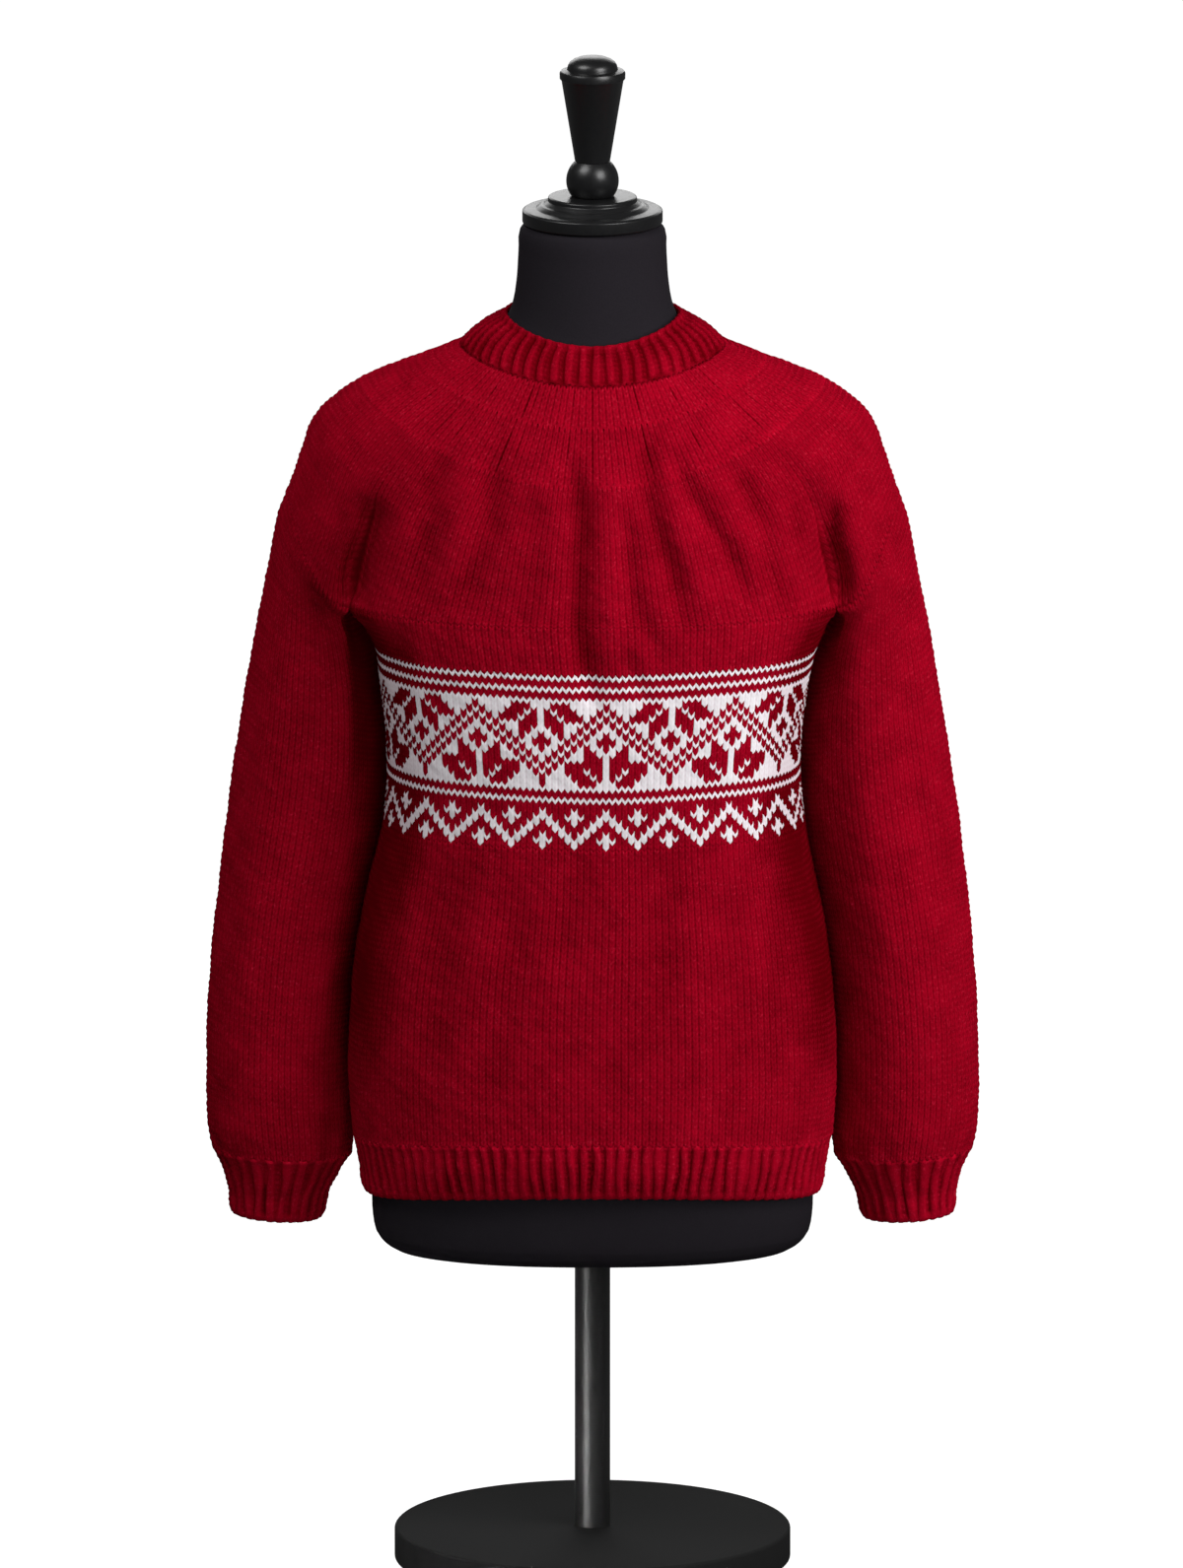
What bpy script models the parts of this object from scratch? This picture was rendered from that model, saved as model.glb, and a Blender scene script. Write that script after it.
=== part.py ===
"""A round-yoke sweater on a neck-and-torso dress form with a turned cap, a finial, a pole and a disc base.

Metres, +Z up, origin on the floor under the middle of the base. The front faces -Y.
"""

import math
from collections import namedtuple

import bmesh
import bpy
import numpy as np

# Cloth
WALL = 0.0028  # knitted cloth
RIB_WALL = 0.0026  # ribbing, in the furrows
RIB_RELIEF = 0.0017  # how far a rib stands out of its furrows
NECKBAND_WALL = 0.0040
SEAM_GAP = 0.00035  # between pieces at a seam
UNDERARM_GAP = 0.0004  # from the underarm plane to the body, and to the sleeve
SEAT_GAP = 0.0007  # from the shoulders of the form to the cloth that rests on them
NECKBAND_GAP = 0.0010  # from the form to the neckband

# Corners round a half ring, from the front centre to the back centre
BODY_FRONT, UNDERARM, SLEEVE_OUTER, SLEEVE_INNER = 12, 3, 16, 6
FORM_STEP = 2  # the form has one corner for every two of the yoke
FINE_POINTS = 721  # on the polylines that the corners are spaced along

# Ribs: one knit and one purl column each
NECK_RIBS, HEM_RIBS, CUFF_RIBS = 44, 90, 24
RIB_SHAPE = (0.0, 1.0, 1.0)  # furrow, then the two sides of a flat-topped rib

# The armhole, where yoke, body and sleeve meet
ARMHOLE_Z = 0.750  # the underarm
ARMHOLE_RISE = 0.080  # how much higher the sleeve begins on its outer side
FRONT_NOTCH_Y, BACK_NOTCH_Y = -0.042, 0.060
ARMHOLE_BULGE = 0.011  # the sleeve's head stands this far before and behind the notches
ARMHOLE_FULLNESS = 0.85  # below 1, its sides leave the notches more squarely
CHEST_HALF_WIDTH = 0.192  # of the body's oval at the armhole, before the notches cut it
SLEEVE_HEAD_DROP = 0.0003  # more room under the yoke over the sleeve's head
ARMHOLE_SHARE = (0.0, 0.0, 0.0, 0.0, 0.02, 0.08, 0.28, 0.62, 1.0)  # of its outline, in each yoke ring

# The stand
POLE_RADIUS = 0.0135
BASE_RADIUS, BASE_HEIGHT = 0.151, 0.025
TORSO_FLOOR_Z = 0.243
NECK_TOP_Z = 1.0400
FLAT_GAP = 0.0003  # between the stand's pieces, face to face

Ring = namedtuple("Ring", "half_width side_y side_z front_y front_z back_y back_z power")
YOKE = (  # from the neckband's lower edge to the armholes, a row for each ring
    Ring(0.1010, -0.009, 0.9466, 0.0950, 0.9310, 0.0770, 0.9540, 2.00),
    Ring(0.1240, -0.006, 0.9400, 0.1030, 0.9090, 0.0875, 0.9330, 2.05),
    Ring(0.1480, -0.002, 0.9322, 0.1090, 0.8860, 0.0970, 0.9080, 2.10),
    Ring(0.1710, 0.001, 0.9235, 0.1125, 0.8630, 0.1030, 0.8820, 2.15),
    Ring(0.1925, 0.004, 0.9115, 0.1150, 0.8400, 0.1065, 0.8560, 2.20),
    Ring(0.2092, 0.007, 0.8950, 0.1170, 0.8180, 0.1085, 0.8300, 2.25),
    Ring(0.2180, 0.009, 0.8745, 0.1182, 0.7950, 0.1095, 0.8050, 2.30),
    Ring(0.2260, 0.011, 0.8515, 0.1188, 0.7725, 0.1100, 0.7775, 2.35),
    Ring(0.2330, 0.012, 0.8300, 0.1190, 0.7500, 0.1100, 0.7500, 2.40),
)
NECKBAND = (  # the furrows of its outer side, from the rolled upper edge to the lower edge
    Ring(0.0685, -0.0065, 0.9737, 0.0690, 0.9600, 0.0595, 0.9820, 2.00),
    Ring(0.0778, -0.007, 0.9705, 0.0755, 0.9568, 0.0640, 0.9785, 2.00),
    Ring(0.0908, -0.008, 0.9598, 0.0860, 0.9460, 0.0705, 0.9685, 2.00),
    Ring(0.1017, -0.009, 0.9478, 0.0955, 0.9332, 0.0775, 0.9558, 2.00),
)
BodyRing = namedtuple("BodyRing", "z half_width front_y back_y power front_lift")
BODY = (  # below the armhole
    BodyRing(0.7350, 0.1790, 0.1187, 0.1098, 3.00, 0.0),
    BodyRing(0.7150, 0.1715, 0.1180, 0.1090, 2.70, 0.0),
    BodyRing(0.6900, 0.1665, 0.1172, 0.1075, 2.50, 0.0),
    BodyRing(0.6550, 0.1625, 0.1163, 0.1055, 2.40, 0.0),
    BodyRing(0.6100, 0.1602, 0.1153, 0.1040, 2.40, 0.0005),
    BodyRing(0.5700, 0.1622, 0.1147, 0.1048, 2.40, 0.0020),
    BodyRing(0.5250, 0.1715, 0.1147, 0.1090, 2.30, 0.0050),
    BodyRing(0.4750, 0.1803, 0.1150, 0.1138, 2.30, 0.0080),
    BodyRing(0.4200, 0.1850, 0.1149, 0.1160, 2.30, 0.0108),
    BodyRing(0.3700, 0.1858, 0.1140, 0.1155, 2.30, 0.0125),
    BodyRing(0.3320, 0.1826, 0.1130, 0.1140, 2.30, 0.0130),
)
HEM = (  # its furrows
    BodyRing(0.33165, 0.1824, 0.1130, 0.1140, 2.30, 0.0130),
    BodyRing(0.3100, 0.1773, 0.1108, 0.1118, 2.30, 0.0130),
    BodyRing(0.2900, 0.1738, 0.1030, 0.1040, 2.30, 0.0130),
)
SHARE_BLEND = (1.0, 0.7, 0.35, 0.1)  # how far the first body rings keep the armhole's spacing
SleeveRing = namedtuple("SleeveRing", "inner_x inner_z outer_x outer_z centre_y half_depth")
SLEEVE = (  # below the armhole
    SleeveRing(0.1795, 0.7330, 0.2395, 0.8030, 0.018, 0.0590),
    SleeveRing(0.1718, 0.7130, 0.2470, 0.7750, 0.025, 0.0600),
    SleeveRing(0.1660, 0.6880, 0.2525, 0.7440, 0.030, 0.0595),
    SleeveRing(0.1620, 0.6590, 0.2585, 0.7080, 0.033, 0.0590),
    SleeveRing(0.1585, 0.6120, 0.2670, 0.6550, 0.036, 0.0575),
    SleeveRing(0.1615, 0.5620, 0.2762, 0.5940, 0.038, 0.0562),
    SleeveRing(0.1716, 0.5080, 0.2840, 0.5300, 0.039, 0.0555),
    SleeveRing(0.1799, 0.4480, 0.2907, 0.4640, 0.039, 0.0550),
    SleeveRing(0.1838, 0.3880, 0.2945, 0.3990, 0.038, 0.0545),
    SleeveRing(0.1840, 0.3420, 0.2933, 0.3500, 0.037, 0.0530),
    SleeveRing(0.1836, 0.3165, 0.2906, 0.3225, 0.036, 0.0500),
)
CUFF = (  # its furrows
    SleeveRing(0.1840, 0.31615, 0.2902, 0.32215, 0.036, 0.0497),
    SleeveRing(0.1905, 0.3000, 0.2830, 0.3050, 0.036, 0.0435),
    SleeveRing(0.2003, 0.2850, 0.2772, 0.2890, 0.036, 0.0370),
    SleeveRing(0.2068, 0.2588, 0.2748, 0.2628, 0.036, 0.0325),
)
FIRST_NOTCH_ANGLE = math.radians(130)  # from the sleeve's outermost line to each notch line
ARMHOLE_SLEEVE_SHARE = (1.0, 0.55, 0.25, 0.08)  # of the armhole's outline, in the first sleeve rings

FOLD_FADE = 0.3  # share of a fold's length over which each end fades
SIDE_FADE_Y = 0.03  # a fold of the chest fades towards the sides over this depth

Fold = namedtuple("Fold", "side x_top z_top x_foot z_foot half_width depth")
FOLDS = (  # soft troughs, in the plane of the chest or the back
    Fold(-1, -0.014, 0.864, -0.016, 0.700, 0.016, 0.0034),
    Fold(-1, 0.060, 0.856, 0.066, 0.752, 0.015, 0.0024),
    Fold(-1, -0.088, 0.868, -0.136, 0.760, 0.018, 0.0024),
    Fold(-1, 0.080, 0.868, 0.120, 0.760, 0.018, 0.0022),
    Fold(-1, -0.050, 0.812, -0.074, 0.720, 0.015, 0.0018),
    Fold(-1, -0.104, 0.560, -0.128, 0.370, 0.022, 0.0026),
    Fold(-1, 0.074, 0.572, 0.104, 0.372, 0.022, 0.0024),
    Fold(-1, 0.004, 0.560, -0.010, 0.410, 0.020, 0.0018),
    Fold(1, 0.020, 0.860, 0.012, 0.660, 0.020, 0.0034),
    Fold(1, -0.070, 0.852, -0.112, 0.700, 0.020, 0.0028),
    Fold(1, 0.092, 0.846, 0.130, 0.704, 0.020, 0.0026),
    Fold(1, -0.056, 0.610, -0.084, 0.380, 0.024, 0.0032),
    Fold(1, 0.060, 0.600, 0.096, 0.390, 0.024, 0.0030),
)
SleeveFold = namedtuple("SleeveFold", "side angle z_top z_foot half_width depth")
SLEEVE_FOLDS = (  # soft troughs down a sleeve, the angle from its outermost line towards its front
    SleeveFold(-1, 58, 0.720, 0.520, 0.016, 0.0026),
    SleeveFold(-1, 100, 0.640, 0.400, 0.016, 0.0022),
    SleeveFold(-1, -70, 0.700, 0.450, 0.018, 0.0030),
    SleeveFold(1, 74, 0.730, 0.540, 0.016, 0.0024),
    SleeveFold(1, 40, 0.560, 0.370, 0.016, 0.0020),
    SleeveFold(1, -80, 0.680, 0.430, 0.018, 0.0030),
)

FORM_NECK = (  # from the flat top down into the neckband
    Ring(0.0515, 0.0, 1.0397, 0.0515, 1.0397, 0.0515, 1.0397, 2.0),
    Ring(0.0543, 0.0, 1.0365, 0.0543, 1.0365, 0.0543, 1.0365, 2.0),
    Ring(0.0562, -0.001, 1.0190, 0.0568, 1.0180, 0.0555, 1.0190, 2.0),
    Ring(0.0576, -0.003, 0.9980, 0.0595, 0.9920, 0.0555, 1.0010, 2.0),
    Ring(0.0597, -0.005, 0.9810, 0.0620, 0.9700, 0.0552, 0.9905, 2.0),
    Ring(0.0622, -0.0065, 0.9700, 0.0640, 0.9560, 0.0548, 0.9785, 2.0),
)
SEATED_NECKBAND_RING = 2
CHEST_EASE = {0: 0.0, 1: 0.0008, 2: 0.0024, 3: 0.0042, 4: 0.0050}  # room under the folds, by yoke ring
FORM_TORSO = (  # below the shoulder ends, clear of the cloth
    Ring(0.1885, 0.004, 0.8860, 0.1095, 0.8050, 0.1000, 0.8200, 2.10),
    Ring(0.1740, 0.003, 0.8250, 0.1105, 0.7550, 0.1005, 0.7600, 2.20),
    Ring(0.1480, 0.000, 0.7250, 0.1050, 0.6900, 0.0960, 0.6860, 2.25),
    Ring(0.1320, 0.000, 0.6100, 0.0940, 0.6100, 0.0880, 0.6100, 2.20),
    Ring(0.1600, 0.000, 0.4800, 0.1040, 0.4800, 0.1040, 0.4800, 2.20),
    Ring(0.1765, 0.000, 0.3800, 0.1065, 0.3800, 0.1080, 0.3800, 2.25),
    Ring(0.1682, 0.000, 0.2950, 0.0960, 0.2950, 0.0970, 0.2950, 2.30),
    Ring(0.1672, 0.000, 0.2680, 0.0950, 0.2680, 0.0960, 0.2680, 2.30),
    Ring(0.1625, 0.000, 0.2530, 0.0910, 0.2530, 0.0920, 0.2530, 2.30),
    Ring(0.1530, 0.000, 0.2462, 0.0830, 0.2462, 0.0840, 0.2462, 2.30),
    Ring(0.1430, 0.000, TORSO_FLOOR_Z, 0.0740, TORSO_FLOOR_Z, 0.0750, TORSO_FLOOR_Z, 2.30),
)

Turn = namedtuple("Turn", "radius z")
CAP = (  # outer side, top to bottom
    Turn(0.0, 1.0612),
    Turn(0.0322, 1.0612),
    Turn(0.0336, 1.0602),
    Turn(0.0336, 1.0582),
    Turn(0.0352, 1.0566),
    Turn(0.0390, 1.0546),
    Turn(0.0412, 1.0522),
    Turn(0.0510, 1.0512),
    Turn(0.0532, 1.0496),
    Turn(0.0533, 1.0418),
    Turn(0.0518, NECK_TOP_Z),
    Turn(0.0, NECK_TOP_Z),
)
BALL_RADIUS, BALL_Z = 0.0200, 1.0730
FINIAL_STEM = (  # above the ball, top to bottom
    Turn(0.0, 1.1690),
    Turn(0.0085, 1.1682),
    Turn(0.0145, 1.1655),
    Turn(0.0181, 1.1618),
    Turn(0.0189, 1.1592),
    Turn(0.0206, 1.1588),
    Turn(0.0236, 1.1584),
    Turn(0.0248, 1.1568),
    Turn(0.0244, 1.1524),
    Turn(0.0236, 1.1512),
    Turn(0.0132, 1.0900),
)
BALL_ANGLES = (48, 25, 0, -20, -36.5)  # latitudes on the ball, down to the face that rests on the cap
BASE_EDGE, BASE_FOOT_EDGE = 0.003, 0.0012
ROUND_STEPS = {"neck_cap": 36, "finial": 24, "pole": 24, "base": 48}

RED_WOOL = (0.28, 0.002, 0.012, 1.0)
BLACK_JERSEY = (0.015, 0.014, 0.016, 1.0)
BLACK_WOOD = (0.012, 0.012, 0.012, 1.0)
BLACK_METAL = (0.020, 0.020, 0.020, 1.0)
Finish = namedtuple("Finish", "colour roughness metallic")
WOOL = Finish(RED_WOOL, 0.9, 0.0)
JERSEY = Finish(BLACK_JERSEY, 0.8, 0.0)
CAP_WOOD = Finish(BLACK_WOOD, 0.35, 0.0)
FINIAL_WOOD = Finish(BLACK_WOOD, 0.3, 0.0)
POLE_METAL = Finish(BLACK_METAL, 0.4, 0.6)
BASE_METAL = Finish(BLACK_METAL, 0.6, 0.4)
SHARP_ANGLE = math.radians(40)


def clear_scene():
    for thing in list(bpy.context.scene.objects):
        bpy.data.objects.remove(thing, do_unlink=True)


def add_finish(name, finish):
    material = bpy.data.materials.new(name)
    material.use_nodes = True
    shader = material.node_tree.nodes["Principled BSDF"]
    shader.inputs["Base Color"].default_value = finish.colour
    shader.inputs["Roughness"].default_value = finish.roughness
    shader.inputs["Metallic"].default_value = finish.metallic
    return material


def add_object(name, shape, finish):
    mesh = bpy.data.meshes.new(name)
    shape.to_mesh(mesh)
    shape.free()
    mesh.materials.append(add_finish(name, finish))
    mesh.shade_smooth()
    mesh.set_sharp_from_angle(angle=SHARP_ANGLE)
    bpy.context.scene.collection.objects.link(bpy.data.objects.new(name, mesh))


# Outlines


def spaced(points, shares):
    """The points at these shares of a polyline's length."""
    lengths = np.linalg.norm(np.diff(points, axis=0), axis=1)
    reached = np.concatenate([[0.0], np.cumsum(lengths)])
    wanted = np.asarray(shares) * reached[-1]
    return np.stack([np.interp(wanted, reached, points[:, axis]) for axis in range(3)], axis=1)


def half_oval(ring):
    """Half of a ring's outline as a fine polyline, from the front centre round +X to the back centre."""
    angle = np.linspace(0.0, math.pi, FINE_POINTS)
    across = np.sin(angle)
    along = np.cos(angle)
    bend = 2.0 / ring.power
    front = along > 0
    reach = np.where(front, ring.front_y + ring.side_y, ring.back_y - ring.side_y)
    end_z = np.where(front, ring.front_z, ring.back_z)
    x = ring.half_width * across**bend
    y = ring.side_y - np.sign(along) * reach * np.abs(along) ** bend
    z = ring.side_z + (end_z - ring.side_z) * along**2
    return np.stack([x, y, z], axis=1)


def body_oval(row):
    lifted = row.z + row.front_lift
    flat = Ring(row.half_width, 0.0, row.z, row.front_y, lifted, row.back_y, row.z, row.power)
    return half_oval(flat)


def chest_oval():
    last = YOKE[-1]
    ring = Ring(
        CHEST_HALF_WIDTH, 0.0, ARMHOLE_Z, last.front_y, ARMHOLE_Z, last.back_y, ARMHOLE_Z, last.power
    )
    return half_oval(ring)


def armhole_arcs():
    """Front half, sleeve head and back half of the ring where the yoke ends, as fine polylines."""
    chest = chest_oval()
    front = chest[chest[:, 1] <= FRONT_NOTCH_Y]
    back = chest[chest[:, 1] >= BACK_NOTCH_Y]
    start = front[-1]
    end = back[0]
    share = np.linspace(0.0, 1.0, FINE_POINTS)
    turn = math.pi * share
    way = (1 - np.cos(turn)) / 2
    outer = YOKE[-1].half_width
    x = start[0] + (end[0] - start[0]) * way
    x = x + (outer - x) * np.sin(turn) ** ARMHOLE_FULLNESS
    y = start[1] + (end[1] - start[1]) * way - ARMHOLE_BULGE * np.sin(2 * turn)
    z = ARMHOLE_Z + ARMHOLE_RISE * np.sin(turn) ** 2
    return front, np.stack([x, y, z], axis=1), back


def armhole_ring(front_count, head_count, back_count):
    front, head, back = armhole_arcs()
    parts = (
        spaced(front, np.linspace(0, 1, front_count + 1)),
        spaced(head, np.linspace(0, 1, head_count + 1))[1:],
        spaced(back, np.linspace(0, 1, back_count + 1))[1:],
    )
    return np.concatenate(parts)


def mirrored(half):
    """A closed ring from its +X half, whose first and last points lie on the middle plane."""
    other = half[-2:0:-1] * (-1.0, 1.0, 1.0)
    return np.concatenate([half, other])


def smooth_step(value):
    value = np.clip(value, 0.0, 1.0)
    return value * value * (3 - 2 * value)


def normals_of(rings):
    """Outward unit normals of a grid of rings, listed from the top down, each running front, +X, back."""
    along = np.roll(rings, -1, axis=1) - np.roll(rings, 1, axis=1)
    down = np.gradient(rings, axis=0)
    normal = np.cross(down, along)
    return normal / np.linalg.norm(normal, axis=2, keepdims=True)


def level(normals):
    flat = normals * (1.0, 1.0, 0.0)
    return flat / np.linalg.norm(flat, axis=-1, keepdims=True)


def trough(across, top, foot, height, half_width, depth):
    """How deep a fold lies at a distance across it and at a height along it, fading at its ends."""
    fade = FOLD_FADE * (top - foot)
    run = smooth_step((top - height) / fade) * smooth_step((height - foot) / fade)
    return depth * run * np.exp(-((across / half_width) ** 2))


def folded(points, normals):
    """Body or yoke points sunk into the folds of the chest and the back."""
    sunk = np.zeros(points.shape[:-1])
    x, y, z = points[..., 0], points[..., 1], points[..., 2]
    for fold in FOLDS:
        way = (fold.z_top - z) / (fold.z_top - fold.z_foot)
        centre = fold.x_top + (fold.x_foot - fold.x_top) * way
        own_side = smooth_step(fold.side * y / SIDE_FADE_Y)
        depth = trough(x - centre, fold.z_top, fold.z_foot, z, fold.half_width, fold.depth)
        sunk += own_side * depth
    return points - normals * sunk[..., None]


def yoke_rings():
    counts = (BODY_FRONT, SLEEVE_OUTER, BODY_FRONT)
    shares = np.linspace(0, 1, sum(counts) + 1)
    end = armhole_ring(*counts)
    rings = []
    for ring, share in zip(YOKE, ARMHOLE_SHARE):
        plain = spaced(half_oval(ring), shares)
        rings.append(mirrored(plain + (end - plain) * share))
    return np.array(rings)


def body_shares(blend):
    """Shares of a half ring's length for the body's corners, from the armhole's spacing to an even one."""
    count = 2 * BODY_FRONT + UNDERARM
    even = np.linspace(0, 1, count + 1)
    front, _, back = armhole_arcs()
    runs = (
        np.linalg.norm(np.diff(front, axis=0), axis=1).sum(),
        np.linalg.norm(back[0] - front[-1]),
        np.linalg.norm(np.diff(back, axis=0), axis=1).sum(),
    )
    ends = np.concatenate([[0], np.cumsum(runs)]) / sum(runs)
    corners = (0, BODY_FRONT, BODY_FRONT + UNDERARM, count)
    armhole = np.interp(np.arange(count + 1), corners, ends)
    return even + (armhole - even) * blend


def body_rings(yoke_end):
    """The body's rings, the first one a seam gap under the yoke's last."""
    top = yoke_end[: BODY_FRONT + SLEEVE_OUTER + BODY_FRONT + 1].copy()
    front = top[: BODY_FRONT + 1]
    back = top[-BODY_FRONT - 1 :]
    front[-1, 0] -= UNDERARM_GAP
    back[0, 0] -= UNDERARM_GAP
    way = np.linspace(0, 1, UNDERARM + 1)[1:-1, None]
    under = front[-1] + (back[0] - front[-1]) * way
    rings = [mirrored(np.concatenate([front, under, back])) - (0.0, 0.0, SEAM_GAP)]
    for number, row in enumerate(BODY):
        blend = SHARE_BLEND[number + 1] if number + 1 < len(SHARE_BLEND) else 0.0
        rings.append(mirrored(spaced(body_oval(row), body_shares(blend))))
    return np.array(rings)


def sleeve_oval(row, angle):
    """Points of a sleeve's section, the angle measured from its outermost line towards its back."""
    outer = np.array([row.outer_x, row.centre_y, row.outer_z])
    inner = np.array([row.inner_x, row.centre_y, row.inner_z])
    depth = np.array([0.0, row.half_depth, 0.0])
    centre = (outer + inner) / 2
    return centre + np.cos(angle)[:, None] * (outer - centre) + np.sin(angle)[:, None] * depth


def sleeve_ring(row, outer_count, inner_count):
    notch = FIRST_NOTCH_ANGLE
    head = sleeve_oval(row, np.linspace(-notch, notch, FINE_POINTS))
    under = sleeve_oval(row, np.linspace(notch, 2 * math.pi - notch, FINE_POINTS))
    outer = spaced(head, np.linspace(0, 1, outer_count + 1))
    inner = spaced(under, np.linspace(0, 1, inner_count + 1))
    return np.concatenate([outer, inner[1:-1]])


def sleeve_rings(yoke_end):
    """The +X sleeve's rings, from the front notch over the outer side to the back notch and under the arm."""
    head = yoke_end[BODY_FRONT : BODY_FRONT + SLEEVE_OUTER + 1].copy()
    head[0, 0] += UNDERARM_GAP
    head[-1, 0] += UNDERARM_GAP
    way = np.linspace(0, 1, SLEEVE_INNER + 1)[1:-1, None]
    under = head[-1] + (head[0] - head[-1]) * way
    drop = np.full(SLEEVE_OUTER + SLEEVE_INNER, SEAM_GAP)
    drop[1:SLEEVE_OUTER] += SLEEVE_HEAD_DROP
    armhole = np.concatenate([head, under]) - drop[:, None] * (0.0, 0.0, 1.0)
    rings = [armhole]
    for number, row in enumerate(SLEEVE):
        plain = sleeve_ring(row, SLEEVE_OUTER, SLEEVE_INNER)
        if number + 1 < len(ARMHOLE_SLEEVE_SHARE):
            share = ARMHOLE_SLEEVE_SHARE[number + 1]
            moved = armhole - armhole.mean(axis=0) + plain.mean(axis=0)
            plain = plain + (moved - plain) * share
        rings.append(plain)
    return np.array(rings)


# Solids


def add_wall(name, outer, inner, finish):
    """A tube of cloth from two grids of rings, listed from the top down. An outer ring may have several
    points for each inner one."""
    shape = bmesh.new()
    outer_loops = [[shape.verts.new(point) for point in ring] for ring in outer]
    inner_loops = [[shape.verts.new(point) for point in ring] for ring in inner]
    for upper, lower in zip(outer_loops, outer_loops[1:]):
        for now, after in zip(range(-1, len(upper) - 1), range(len(upper))):
            shape.faces.new((upper[now], lower[now], lower[after], upper[after]))
    for upper, lower in zip(inner_loops, inner_loops[1:]):
        for now, after in zip(range(-1, len(upper) - 1), range(len(upper))):
            shape.faces.new((upper[after], lower[after], lower[now], upper[now]))
    ratio = len(outer_loops[0]) // len(inner_loops[0])
    for end, turned in ((0, 1), (-1, -1)):
        loop = outer_loops[end]
        lining = inner_loops[end]
        for now in range(len(lining)):
            after = (now + 1) % len(lining)
            edge = [loop[(now * ratio + step) % len(loop)] for step in range(ratio + 1)]
            face = edge + [lining[after], lining[now]]
            shape.faces.new(face[::turned])
    bmesh.ops.triangulate(shape, faces=shape.faces)
    add_object(name, shape, finish)


def flipped(rings):
    """The same rings on the -X side, running the same way round."""
    return rings[:, ::-1] * (-1.0, 1.0, 1.0)


def add_lofted(name, rings, finish):
    """A closed solid through rings listed from the top down."""
    shape = bmesh.new()
    loops = [[shape.verts.new(point) for point in ring] for ring in rings]
    for upper, lower in zip(loops, loops[1:]):
        for now, after in zip(range(-1, len(upper) - 1), range(len(upper))):
            shape.faces.new((upper[now], lower[now], lower[after], upper[after]))
    shape.faces.new(loops[0])
    shape.faces.new(loops[-1][::-1])
    bmesh.ops.triangulate(shape, faces=shape.faces)
    add_object(name, shape, finish)


def add_turned(name, profile, finish):
    """A turned solid from its outer profile, top to bottom, whose ends lie on the axis."""
    steps = ROUND_STEPS[name]
    shape = bmesh.new()
    points = [shape.verts.new((turn.radius, 0.0, turn.z)) for turn in profile]
    edges = [shape.edges.new(pair) for pair in zip(points, points[1:])]
    bmesh.ops.spin(
        shape,
        geom=points + edges,
        cent=(0, 0, 0),
        axis=(0, 0, 1),
        angle=2 * math.pi,
        steps=steps,
        use_merge=True,
    )
    bmesh.ops.remove_doubles(shape, verts=shape.verts, dist=1e-6)
    bmesh.ops.recalc_face_normals(shape, faces=shape.faces)
    add_object(name, shape, finish)


def ribbed(plain, normals, relief):
    """Rings pushed out to the ribs' profile; each ring has a whole number of ribs."""
    ribs = plain.shape[1] // len(RIB_SHAPE)
    height = np.tile(RIB_SHAPE, ribs) * relief
    return plain + normals * height[None, :, None]


def add_ribbing(name, plain, wall, level_top):
    """A ribbed tube: ribs outside, plain inside."""
    normals = normals_of(plain)
    if level_top:
        normals[0] = level(normals[0])
    outer = ribbed(plain, normals, RIB_RELIEF)
    inner = (plain - normals * wall)[:, :: len(RIB_SHAPE)]
    add_wall(name, outer, inner, WOOL)


def rib_shares(ribs):
    """Shares of a half ring, with half the ribs on it."""
    return np.linspace(0, 1, ribs * len(RIB_SHAPE) // 2 + 1)


def add_yoke():
    rings = yoke_rings()
    normals = normals_of(rings)
    normals[-1] = level(normals[-1])
    outer = folded(rings, normals)
    add_wall("yoke", outer, outer - normals * WALL, WOOL)
    return rings, normals


def add_body(yoke, yoke_normals):
    rings = body_rings(yoke[-1])
    normals = normals_of(rings)
    normals[0] = level(normals[0])
    normals[-1] = level(normals[-1])
    seam = BODY_FRONT
    normals[0][:seam] = yoke_normals[-1][:seam]
    normals[0][1 - seam :] = yoke_normals[-1][1 - seam :]
    middle = BODY_FRONT + UNDERARM + BODY_FRONT
    yoke_middle = BODY_FRONT + SLEEVE_OUTER + BODY_FRONT
    near = np.arange(1 - seam, seam)
    normals[0][middle + near] = yoke_normals[-1][yoke_middle + near]
    outer = folded(rings, normals)
    add_wall("body", outer, outer - normals * WALL, WOOL)


def add_hem_rib():
    shares = rib_shares(HEM_RIBS)
    rings = np.array([mirrored(spaced(body_oval(row), shares)) for row in HEM])
    add_ribbing("hem_rib", rings, RIB_WALL, level_top=True)


def add_neckband():
    shares = rib_shares(NECK_RIBS)
    rings = np.array([mirrored(spaced(half_oval(ring), shares)) for ring in NECKBAND])
    add_ribbing("neckband", rings, NECKBAND_WALL, level_top=False)


def sleeve_folded(rings, normals, side):
    sunk = np.zeros(rings.shape[:-1])
    centres = rings.mean(axis=1, keepdims=True)
    across = rings - centres
    angle = np.arctan2(-across[..., 1], across[..., 0])
    radius = np.linalg.norm(across, axis=2)
    for fold in SLEEVE_FOLDS:
        if fold.side == side:
            gap = (angle - math.radians(fold.angle) + math.pi) % (2 * math.pi) - math.pi
            sunk += trough(
                gap * radius, fold.z_top, fold.z_foot, rings[..., 2], fold.half_width, fold.depth
            )
    return rings - normals * sunk[..., None]


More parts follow.
